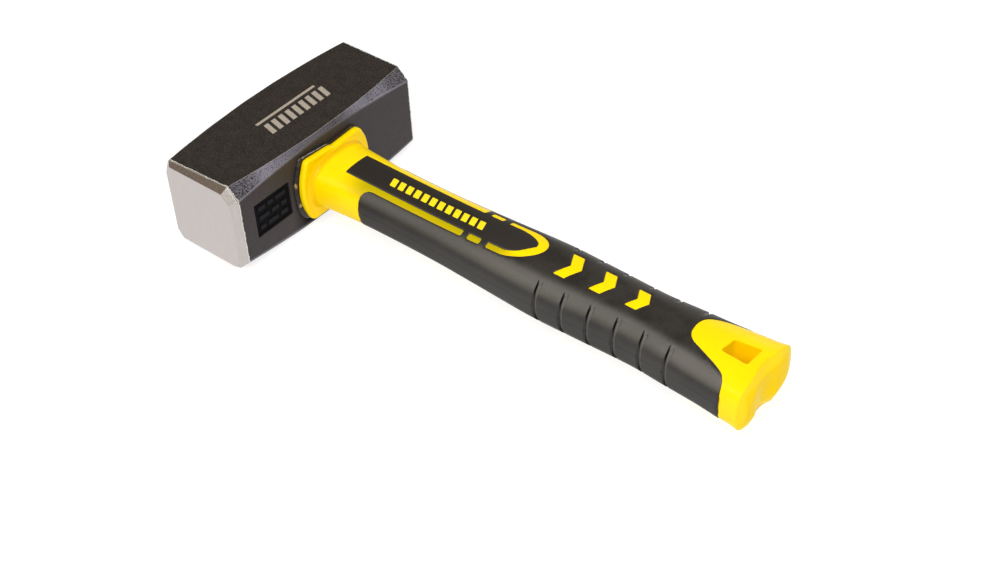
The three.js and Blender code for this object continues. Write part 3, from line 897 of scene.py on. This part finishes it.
def stamp_solid():
    """Tool that presses the stamped panel."""
    step = 0.25
    y, z = (np.arange(-size / 2, size / 2 + step / 2, step) for size in (STAMP_WIDTH, STAMP_HEIGHT))
    yy, zz = np.meshgrid(y, z, indexing="ij")
    rows, columns = yy.shape
    floor = np.stack([HEAD_HALF[0] - stamp_depths(yy, zz), STAMP_Y + yy, STAMP_Z + AXIS + zz], -1)
    floor = floor.reshape(-1, 3)
    lid = floor.copy()
    lid[:, 0] = HEAD_HALF[0] + 1
    shell = Shell()
    low, high = shell.add_points(floor), shell.add_points(lid)
    for i in range(rows - 1):
        for j in range(columns - 1):
            a, b = i * columns + j, (i + 1) * columns + j
            shell.add_face((low[a], low[b], low[b + 1], low[a + 1]))
            shell.add_face((high[a], high[a + 1], high[b + 1], high[b]))
    numbers = np.arange(rows * columns).reshape(rows, columns)
    border = [*numbers[0, :-1], *numbers[:-1, -1], *numbers[-1, :0:-1], *numbers[:0:-1, 0]]
    shell.join_rings([low[i] for i in border], [high[i] for i in border])
    return shell.mesh("stamp")


def prism(outline, bottom, top):
    """Upright prism over an outline in X and Y."""
    return lofted("prism", [[(x, y, z) for x, y in outline] for z in (bottom, top)])


def mark_solids():
    """Thin cutters for a plain etched pattern on the upper cheek: a line over slanted bars."""
    span = (2 * AXIS - MARK_DEPTH, 2 * AXIS + 1)
    (back, front), (x0, x1) = MARK_LINE, MARK_BAR_X
    outlines = [[(back, MARK_START), (front, MARK_START), (front, MARK_END), (back, MARK_END)]]
    for y in np.linspace(MARK_START, MARK_END - MARK_BAR_WIDTH, MARK_BARS):
        far = y + MARK_BAR_WIDTH
        outlines.append([(x0, y + MARK_SLANT), (x1, y), (x1, far), (x0, far + MARK_SLANT)])
    return [prism(outline, *span) for outline in outlines]


def make_head():
    """The forging with its eye, its stamped panel and its etched pattern."""
    eye = lofted("eye", [eye_ring(-HEAD_HALF[0] - 2), eye_ring(HEAD_HALF[0] + 2)])
    mesh = applied(cut(head_blank(), eye), "BEVEL", width=HEAD_EDGE * MM, segments=3,
                   limit_method="ANGLE", angle_limit=math.radians(20))
    mesh = cut(mesh, stamp_solid(), *mark_solids())
    head = add_piece("head_steel", mesh, [steel_material(), etched_material()],
                     ["hammer_head"], smooth_angle=40)
    floor = (2 * AXIS - MARK_DEPTH) * MM
    for face in mesh.polygons:
        if abs(face.center.z - floor) < 0.3 * MARK_DEPTH * MM:
            face.material_index = 1
    head.modifiers.new("weights", "WEIGHTED_NORMAL").keep_sharp = True


def core_solid(steps):
    """The bar of fibreglass through some steps: X, and how far its section is grown there."""
    turn = np.linspace(0, 2 * HALF_TURN, RING_POINTS, endpoint=False)
    half_y, half_z = CORE_SIZE
    return lofted("core", [ring_at(x, *polar(turn, half_y + grow, half_z + grow, CORE_SQUARENESS))
                           for x, grow in steps])


def make_core():
    """The bar through the eye, down to near the hanging hole."""
    c = CORE_CHAMFER
    steps = ((CORE_START, -c), (CORE_START + c, 0), (CORE_END - c, 0), (CORE_END, -c))
    add_piece("core_fibreglass", core_solid(steps), [fibreglass_material()],
              ["fibreglass_core"], smooth_angle=30)


def make_resin():
    """Fills the eye, with a curved surface at its far end, and swells out under the collar."""
    count = 4 * RING_POINTS
    turn = np.linspace(0, 2 * HALF_TURN, count, endpoint=False)
    swell = np.array([1 + 0.45 * noise.noise((3 * math.cos(a), 3 * math.sin(a), 1.7)) for a in turn])
    swell *= RESIN_LIP + (1 - RESIN_LIP) * np.clip(-np.cos(turn), 0, 1) ** 1.5
    face = HEAD_HALF[0]
    far, back = -face + RESIN_RECESS, COLLAR_BACK - 0.02
    surface = ((far, 2.5), (far, 1.4), (far - 0.15, 0.7), (far - 0.6, 0.06), (far, 0.04), (face + 0.02, 0.04))
    rings = [eye_ring(x, inset, count) for x, inset in surface]
    rings += [collar_ring(face + (COLLAR_BACK - face) * across, turn, spread=RESIN_REACH * out * swell)
              for across, out in RESIN_BED]
    rings.append(collar_ring(back, turn, spread=-0.6 * swell))
    shell = Shell()
    shell.loft(rings, (far, 0, AXIS), (back, 0, AXIS))
    mesh = cut(shell.mesh("resin"), core_solid(((CORE_START - 2, 0.02), (COLLAR_BACK + 2, 0.02))))
    add_piece("resin", mesh, [resin_material()], ["resin_bond"], smooth_angle=50)


def make_resin_drops():
    """Drops of resin on the head beside the collar, each a ball that is stretched and dented."""
    for i, (y, z, size) in enumerate(RESIN_DROPS):
        work = bmesh.new()
        bmesh.ops.create_icosphere(work, subdivisions=4, radius=1)
        for vertex in work.verts:
            bump = 1 + 0.22 * noise.noise(vertex.co * 1.6 + Vector((i * 5.1, 0, 0)))
            ball = Vector([c * s * size * bump for c, s in zip(vertex.co, DROP_STRETCH)])
            vertex.co = (ball + Vector((HEAD_HALF[0] + DROP_OUT, y, AXIS + z))) * MM
        mesh = bpy.data.meshes.new("drop")
        work.to_mesh(mesh)
        work.free()
        add_piece(f"resin_drop_{i + 1}", mesh, [amber_material()])


# ---- Materials ------------------------------------------------------------------------------

class Signal:
    """A value worked out by nodes. Signals add, subtract, multiply and divide like numbers."""

    def __init__(self, paint, socket):
        self.paint, self.socket = paint, socket

    def __add__(self, other):
        return self.paint.math("ADD", self, other)

    def __sub__(self, other):
        return self.paint.math("SUBTRACT", self, other)

    def __rsub__(self, other):
        return self.paint.math("SUBTRACT", other, self)

    def __mul__(self, other):
        return self.paint.math("MULTIPLY", self, other)

    def __truediv__(self, other):
        return self.paint.math("DIVIDE", self, other)

    def __abs__(self):
        return self.paint.math("ABSOLUTE", self)


class Paint:
    """A node material. Its inputs can be numbers, colours and signals."""

    def __init__(self, name):
        self.material = bpy.data.materials.new(name)
        self.material.use_nodes = True
        self.tree = self.material.node_tree
        self.shader = self.tree.nodes["Principled BSDF"]
        self.place = Signal(self, self.node("ShaderNodeTexCoord").outputs["Object"])

    def node(self, kind, inputs=None, **settings):
        node = self.tree.nodes.new(kind)
        for key, value in settings.items():
            setattr(node, key, value)
        for key, value in (inputs or {}).items():
            self.feed(node.inputs[key], value)
        return node

    def feed(self, socket, value):
        if isinstance(value, Signal):
            self.tree.links.new(value.socket, socket)
        elif socket.type == "RGBA":
            socket.default_value = (*value, 1)
        else:
            socket.default_value = value

    def math(self, operation, *values):
        node = self.node("ShaderNodeMath", dict(enumerate(values)), operation=operation)
        return Signal(self, node.outputs[0])

    def ramp(self, value, low, high, to_low=0.0, to_high=1.0):
        """Smooth step of a value from one range to another."""
        inputs = {"Value": value, "From Min": low, "From Max": high, "To Min": to_low, "To Max": to_high}
        node = self.node("ShaderNodeMapRange", inputs, interpolation_type="SMOOTHSTEP")
        return Signal(self, node.outputs["Result"])

    def band(self, value, start, full, fall, end):
        """1 from full to fall, and 0 before start and after end."""
        return self.ramp(value, start, full) * self.ramp(value, fall, end, 1, 0)

    def noise(self, size, detail=4.0, roughness=0.55, stretch=(1, 1, 1)):
        """Noise whose features are about size millimetres, stretched along an axis."""
        place = self.node("ShaderNodeMapping", {"Vector": self.place, "Scale": tuple(1 / s for s in stretch)})
        inputs = {"Vector": Signal(self, place.outputs[0]), "Scale": 1 / (size * MM), "Detail": detail,
                  "Roughness": roughness}
        return Signal(self, self.node("ShaderNodeTexNoise", inputs).outputs["Fac"])

    def blend(self, share, one, two, kind="FLOAT"):
        """One value turning into another. Each kind has its own sockets on the node."""
        first, result = {"FLOAT": (2, 0), "VECTOR": (4, 1), "RGBA": (6, 2)}[kind]
        node = self.node("ShaderNodeMix", {0: share, first: one, first + 1: two}, data_type=kind)
        return Signal(self, node.outputs[result])

    def mix(self, share, one, two):
        """One colour turning into another."""
        return self.blend(share, one, two, "RGBA")

    def axes(self, vector):
        return [Signal(self, socket) for socket in self.node("ShaderNodeSeparateXYZ", {0: vector}).outputs]

    def millimetres(self):
        """The point's X, Y and Z in millimetres."""
        return [axis / MM for axis in self.axes(self.place)]

    def normal(self):
        return self.axes(Signal(self, self.node("ShaderNodeNewGeometry").outputs["Normal"]))

    def bump(self, height, depth, before=None):
        """Bump of about depth millimetres, on top of another bump if one is given."""
        inputs = {"Height": height, "Distance": self.math("MULTIPLY", depth, MM)}
        if before is not None:
            inputs["Normal"] = before
        return Signal(self, self.node("ShaderNodeBump", inputs).outputs[0])

    def finish(self, **inputs):
        for key, value in inputs.items():
            self.feed(self.shader.inputs[key.replace("_", " ")], value)
        return self.material


def steel_material():
    """Lacquered forging, scraped along its chamfers, with both ends ground bright."""
    p = Paint("lacquered_steel")
    x, y, z = p.millimetres()
    nx, ny, nz = (abs(axis) for axis in p.normal())
    along = abs(y)
    grain, speckle, patches = p.noise(0.7, 5, 0.7), p.noise(0.55, 3, 0.7), p.noise(5, 3)

    # The lacquer ends in a ragged line with a bright chipped edge, which is askew at the near end.
    askew = p.ramp(y, -40, -20, 1, 0) * (x * 0.04 + p.ramp(x, -21.5, -19, 2.4, 0))
    past_paint = along + (p.noise(1.6) - 0.5) * 1.6 + askew - PAINT_END
    ground = p.ramp(past_paint, -0.12, 0.12)
    chipped = p.ramp(abs(past_paint), 0.1, 0.35, 1, 0)

    # The scraping follows the chamfers, and fades out over the faces beside them. Part of its paleness is
    # painted light.
    leg = p.math("POWER", along / HEAD_HALF[1], 2) * (CHAMFER_END - CHAMFER_MIDDLE) + CHAMFER_MIDDLE
    corner = (HEAD_HALF[0] - abs(x)) + (HEAD_HALF[2] - abs(z - AXIS)) - leg
    fade = p.ramp(nx, 0.75, 0.95, 0.5, 1.9)
    worn = p.ramp(corner + (grain - 0.5) * 3.2, fade * -0.2, fade, 1, 0) * p.ramp(along, 5, 38, 0.3, 1)

    lacquer = p.mix(p.ramp(patches, 0.35, 0.65), (0.007, 0.0050, 0.0036), (0.014, 0.0108, 0.0085))
    lacquer = p.mix(p.ramp(speckle, 0.5, 0.66) * 0.8, lacquer, (0.072, 0.055, 0.040))
    # Painted light: the two faces across X are lighter and bluer than the rest of the lacquer.
    lacquer = p.mix(p.ramp(nx, 0.9, 1) * 0.6, lacquer, (0.036, 0.0275, 0.034))
    # Painted shadow below the collar: the face there is darkened, and its reflection dimmed.
    collar_shadow = p.band(y, -27, -16, 0, 9) * p.ramp(z, 9, 21, 1, 0) * p.ramp(nx, 0.9, 1)
    lacquer = p.mix(collar_shadow, lacquer, (0.003, 0.0025, 0.0015))
    # Painted shade in the stamped panel: darker, most of all on its floor, with its reflection dimmed.
    in_y, in_z = (p.ramp(abs(value - middle), size / 2 - 0.5, size / 2, 1, 0) for value, middle, size in (
        (y, STAMP_Y, STAMP_WIDTH), (z, AXIS + STAMP_Z, STAMP_HEIGHT)))
    sunk = in_y * in_z * p.band(x, 20, 20.5, 22.25, 22.45)
    stamp_shade = p.mix(p.ramp(x, 21.9, 22.15), (0.003, 0.003, 0.0045), (0.014, 0.0135, 0.018))
    lacquer = p.mix(sunk, lacquer, stamp_shade)
    # Scraped chamfers: bare steel, painted paler in part as a painted reflection of the light.
    scrape_and_sheen = p.mix(p.ramp(grain, 0.35, 0.7), (0.14, 0.134, 0.17), (0.56, 0.55, 0.68))

    # Bare steel: grinding lines on the face, and browned bevels above and below it.
    marks = p.noise(0.35, 3, 0.5, stretch=(1, 1, 14))
    bare = p.mix(p.ramp(marks, 0.3, 0.7), (0.475, 0.437, 0.418), (0.515, 0.482, 0.466))
    brown = p.mix(p.ramp(grain, 0.35, 0.65), (0.085, 0.066, 0.050), (0.15, 0.118, 0.094))
    bare = p.mix(p.ramp(nz, 0.5, 0.65) * p.ramp(ny, 0.5, 0.65), bare, brown)
    face = p.ramp(along, HEAD_HALF[1] - 0.35, HEAD_HALF[1] - 0.15)
    rough_bare = p.blend(face, p.ramp(grain, 0.3, 0.7, 0.3, 0.45), p.ramp(marks, 0.3, 0.7, 0.28, 0.38))
    rough_paint = p.blend(worn, p.ramp(grain, 0.3, 0.7, 0.45, 0.62), 0.5)
    lumps = p.bump(patches, 0.1, p.bump(grain, p.blend(worn, 0.04, 0.12), p.bump(speckle, 0.02)))
    color = p.mix(ground, p.mix(worn, lacquer, scrape_and_sheen), bare)
    return p.finish(
        Base_Color=p.mix(chipped * 0.8, color, (0.82, 0.82, 0.80)),
        Metallic=p.blend(ground, worn * 0.35, 1.0),
        Roughness=p.blend(ground, rough_paint, rough_bare),
        # The painted shade in the stamped panel and the collar's painted shadow also dim the reflection.
        Specular_IOR_Level=p.blend(p.math("MAXIMUM", sunk, collar_shadow), 0.35, 0.04),
        Normal=p.blend(ground, lumps, p.bump(marks, 0.008), "VECTOR"),
    )


def etched_material():
    """Steel bared by etching through the lacquer."""
    p = Paint("etched_steel")
    grain = p.noise(0.35, 5, 0.7)
    return p.finish(
        Base_Color=p.mix(p.ramp(grain, 0.35, 0.65), (0.42, 0.36, 0.29), (0.62, 0.56, 0.48)),
        Metallic=0.5,
        Roughness=p.ramp(grain, 0.3, 0.7, 0.4, 0.6),
        Normal=p.bump(grain, 0.03),
    )


def plastic_material():
    """Yellow plastic with a faint mould texture and a few dull scuffs."""
    p = Paint("yellow_plastic")
    x, y, z = p.millimetres()
    nx, ny, nz = p.normal()
    cloud, grain = p.noise(14, 3), p.noise(0.3, 3)
    scuff = p.ramp(p.noise(2.2, 6, 0.7, stretch=(3, 1, 1)), 0.62, 0.74)
    color = p.mix(p.ramp(cloud, 0.3, 0.7), (1.0, 0.70, 0.0), (1.0, 0.73, 0.0))
    color = p.mix(scuff * 0.3, color, (1.0, 0.80, 0.05))
    # Painted shade: the near stripe beside the panel is tinted olive, from the neck to the loop.
    thin = p.band(y, -15, -12, -7.4, -6.2) * p.band(x, 37, 55, 124, 138)
    color = p.mix(thin * 0.95, color, (0.44, 0.36, 0.0))
    # Painted shade in the crease between collar and neck, and on the near part of the collar's front.
    crease_shade = p.band(x, COLLAR_FRONT + 0.05, COLLAR_FRONT + 0.4, COLLAR_FRONT + 1, COLLAR_FRONT + 3.5)
    color = p.mix(crease_shade * 0.8, color, (0.76, 0.44, 0.0))
    front = p.ramp(nx, 0.85, 0.97) * p.ramp(x, COLLAR_FRONT + 1, COLLAR_FRONT + 3, 1, 0)
    color = p.mix(front * p.ramp(y, -6, 4, 1, 0) * 0.35, color, (0.80, 0.50, 0.0))
    # Painted shade: the near side is a little more orange.
    color = p.mix(p.ramp(ny, -1, -0.2, 0.4, 0), color, (0.96, 0.60, 0.0))
    # Painted light and shade on the end: a pale band inside the crisp edge, and a more orange face inside the
    # band.
    facing_out = p.ramp(nx, 0.6, 0.8) * p.ramp(x, 240, 244)
    width, thickness = (float(size) for size in STATIONS[-1][1:3])
    from_side, from_top = width - abs(y), thickness - abs(z - (AXIS - HANDLE_TILT * BUTT_END))
    inset = p.math("SMOOTH_MIN", from_side, from_top, 3.0)
    end = p.mix(p.ramp(inset, BUTT_INSET - 1.4, BUTT_INSET - 0.2), (1.0, 0.72, 0.015), (1.0, 0.67, 0.0))
    return p.finish(
        Base_Color=p.mix(facing_out, color, end),
        Roughness=p.ramp(grain, 0.3, 0.7, 0.24, 0.32) + scuff * 0.15,
        Normal=p.bump(grain, 0.012),
        Specular_IOR_Level=p.ramp(facing_out, 0, 1, 0.13, 0.03) * p.ramp(nz, -0.5, 0.3, 0.15, 1),
        Subsurface_Weight=0.12,
        Subsurface_Radius=(1.0, 0.55, 0.05),
        Subsurface_Scale=0.0015,
    )


def rubber_material():
    """Black soft plastic: satin and a little dusty, darker and finer on the panel between the stripes."""
    p = Paint("black_rubber")
    x, y, z = p.millimetres()
    facing_up = p.normal()[2]
    across, height = abs(y), abs(z - AXIS)
    cloud, grain, dust = p.noise(11, 3), p.noise(0.28, 3), p.noise(1.1, 6, 0.75)
    panel = p.ramp(across, 7.2, 8, 1, 0) * p.ramp(x, 138, 142, 1, 0)
    color = p.mix(p.ramp(cloud, 0.3, 0.7), (0.0095, 0.0075, 0.0056), (0.020, 0.017, 0.014))
    color = p.mix(p.ramp(dust, 0.5, 0.75) * 0.3, color, (0.070, 0.062, 0.052))
    color = p.mix(panel * 0.8, color, p.mix(grain, (0.008, 0.0058, 0.0036), (0.022, 0.0165, 0.011)))
    # Painted sheen on the near shoulder, broken up by dust, and stronger round the middle and beside the
    # butt.
    shoulder_sheen = p.band(facing_up, 0.25, 0.6, 0.84, 0.97) * p.ramp(y, -7, -5, 1, 0)
    color = p.mix(shoulder_sheen * 0.75, color, p.mix(dust, (0.055, 0.051, 0.043), (0.115, 0.108, 0.094)))
    stronger_sheen = p.ramp(x, 95, 135, 0, 0.26) - p.ramp(x, 150, 175, 0, 0.14) + p.ramp(x, 205, 222, 0, 0.3)
    color = p.mix(shoulder_sheen * stronger_sheen, color, (0.130, 0.122, 0.104))
    # Painted shade against the finger grooves' walls, and painted light on their floors.
    turns = (x - (GROOVE_X - GROOVE_BOW / 2)) / GROOVE_PITCH + 0.5
    local = (p.math("FRACT", turns) - 0.5) * GROOVE_PITCH
    last = GROOVE_X + (GROOVES - 1) * GROOVE_PITCH
    here = p.ramp(height, GROOVE_REACH - 0.3, GROOVE_REACH + 0.3, 1, 0) * p.ramp(across, 9, 10)
    here *= p.band(x, GROOVE_X - 4, GROOVE_X - 3, last + 3, last + 4)
    groove_floor_light = here * p.ramp(abs(local - 0.15), 0.4, 0.75, 1, 0) * p.ramp(height, 2, 9, 0.45, 1)
    color = p.mix(groove_floor_light, color, (0.105, 0.098, 0.086))
    wall = p.ramp(abs(local + (GROOVE_HALF - 0.15)), 0.15, 0.45, 1, 0)
    far_wall = p.ramp(abs(local - GROOVE_HALF), 0.0, 0.2, 0.35, 0)
    groove_shade = here * p.math("MAXIMUM", wall, far_wall) * p.ramp(height, 1, 8, 0.1, 1)
    sheen = p.ramp(facing_up, -0.35, 0.1, 0.1, 0.42) * p.ramp(x, 80, 150, 0.72, 1)
    return p.finish(
        Base_Color=p.mix(groove_shade, color, (0.002, 0.002, 0.002)),
        Roughness=p.ramp(cloud, 0.3, 0.7, 0.36, 0.46) + p.ramp(dust, 0.4, 0.7, 0.0, 0.1) + panel * 0.18,
        Normal=p.bump(grain, 0.02),
        # The painted shade in the grooves also dims their reflection.
        Specular_IOR_Level=p.blend(groove_shade, sheen, 0.05),
    )


def print_material():
    """Yellow ink, a little thin in places."""
    p = Paint("yellow_print")
    thin = p.noise(0.5, 5, 0.7)
    color = p.mix(p.ramp(thin, 0.25, 0.6), (0.80, 0.62, 0.0), (1.0, 0.80, 0.0))
    return p.finish(Base_Color=color, Roughness=p.ramp(thin, 0.3, 0.7, 0.4, 0.55), Normal=p.bump(thin, 0.015))


def resin_material():
    """Black resin, brown along the collar's upper edge, with a painted highlight along its thin lip."""
    p = Paint("cured_resin")
    x, y, z = p.millimetres()
    cloud, fine = p.noise(2.5, 4), p.noise(0.6, 3)
    color = p.mix(p.ramp(cloud, 0.3, 0.7), (0.006, 0.005, 0.0045), (0.018, 0.013, 0.010))
    color = p.mix(p.ramp(z, AXIS + 13.4, AXIS + 14.6), color, (0.035, 0.026, 0.012))
    near_corner = COLLAR_TOP[0][0]
    # Painted highlight: a pale line along the resin's thin lip at the collar's upper edge.
    lip_highlight = p.ramp(z, AXIS + 14.9, AXIS + 15.4) * p.ramp(y, near_corner + 0.3, near_corner + 0.9)
    lip_highlight *= p.band(x, COLLAR_BACK - 0.6, COLLAR_BACK - 0.5, COLLAR_BACK - 0.4, COLLAR_BACK - 0.3)
    return p.finish(
        Base_Color=p.mix(lip_highlight * p.ramp(cloud, 0.4, 0.55, 0.25, 1), color, (0.50, 0.48, 0.50)),
        Roughness=p.ramp(fine, 0.3, 0.7, 0.25, 0.4),
        Normal=p.bump(cloud, 0.2),
        Coat_Weight=0.15,
        Coat_Roughness=0.1,
        Specular_IOR_Level=0.25,
    )


def amber_material():
    """Brown, clear-coated resin."""
    p = Paint("amber_resin")
    cloud = p.noise(0.7, 4)
    return p.finish(
        Base_Color=p.mix(p.ramp(cloud, 0.3, 0.7), (0.10, 0.065, 0.015), (0.34, 0.25, 0.08)),
        Roughness=p.ramp(cloud, 0.3, 0.7, 0.15, 0.35),
        Normal=p.bump(cloud, 0.05),
        Coat_Weight=0.4,
    )


def fibreglass_material():
    """Glass fibres that run along the bar, so that its end looks speckled."""
    p = Paint("fibreglass")
    fibre, cloud = p.noise(0.25, 3, 0.6, stretch=(40, 1, 1)), p.noise(3, 3)
    color = p.mix(p.ramp(fibre, 0.35, 0.65), (0.36, 0.33, 0.16), (0.66, 0.62, 0.40))
    color = p.mix(cloud * 0.3, color, (0.30, 0.24, 0.10))
    return p.finish(Base_Color=color, Roughness=p.ramp(fibre, 0.3, 0.7, 0.4, 0.6), Normal=p.bump(fibre, 0.04))


def floor_material():
    """Matt grey that glows a little, so that it comes out white round the hammer's shadow."""
    p = Paint("floor")
    color = p.mix(p.noise(60, 3), (0.29, 0.29, 0.29), (0.31, 0.31, 0.31))
    return p.finish(Base_Color=color, Roughness=0.85, Specular_IOR_Level=0.1, Emission_Color=(1, 1, 1),
                    Emission_Strength=FLOOR_GLOW)


# ---- Scene ----------------------------------------------------------------------------------

def make_camera():
    """The photograph's camera, turned a little about its own line of sight."""
    turn, height, roll = (math.radians(a) for a in (CAMERA_TURN, CAMERA_HEIGHT, CAMERA_ROLL))
    back = Vector((math.sin(turn) * math.cos(height), -math.cos(turn) * math.cos(height), math.sin(height)))
    right = (-back).cross(Vector((0, 0, 1))).normalized()
    up = right.cross(-back)
    level_right = math.cos(roll) * right + math.sin(roll) * up
    level_up = -math.sin(roll) * right + math.cos(roll) * up
    data = bpy.data.cameras.new("camera")
    data.lens = CAMERA_LENS
    data.sensor_width = 36
    data.clip_start = 0.01
    camera = link("camera", data)
    camera.matrix_world = Matrix((level_right, level_up, back)).transposed().to_4x4()
    camera.location = CAMERA_PLACE
    bpy.context.scene.camera = camera


def make_area_light(name, place, target, size, power):
    data = bpy.data.lights.new(name, "AREA")
    data.shape = "RECTANGLE"
    data.size, data.size_y = size
    data.energy = power
    light = link(name, data)
    light.location = place
    light.rotation_euler = (Vector(target) - Vector(place)).to_track_quat("-Z", "Y").to_euler()


def make_light():
    """A warm even sky and three area lights."""
    world = bpy.data.worlds.new("studio")
    world.use_nodes = True
    color, strength = world.node_tree.nodes["Background"].inputs[:2]
    color.default_value = SKY_COLOR
    strength.default_value = SKY_STRENGTH
    bpy.context.scene.world = world
    bpy.context.scene.view_settings.view_transform = "Standard"
    make_area_light("key", (0.42, -0.60, 1.08), (0.1, 0, 0), (0.9, 0.9), 15)
    make_area_light("side", (-0.70, -0.90, 0.82), (0.1, 0, 0), (1.2, 0.45), 4)
    make_area_light("back", (0.25, 1.3, 0.55), (0.12, 0, 0), (1.2, 0.5), 4)


def make_floor():
    mesh = bpy.data.meshes.new("floor")
    corners = [(x * FLOOR_HALF, y * FLOOR_HALF, 0) for x, y in ((-1, -1), (1, -1), (1, 1), (-1, 1))]
    mesh.from_pydata(corners, [], [(0, 1, 2, 3)])
    mesh.materials.append(floor_material())
    link("floor", mesh)


skin = Skin()
make_grip(skin)
make_jacket(skin)
make_head()
make_resin()
make_resin_drops()
make_core()
make_camera()
make_light()
make_floor()
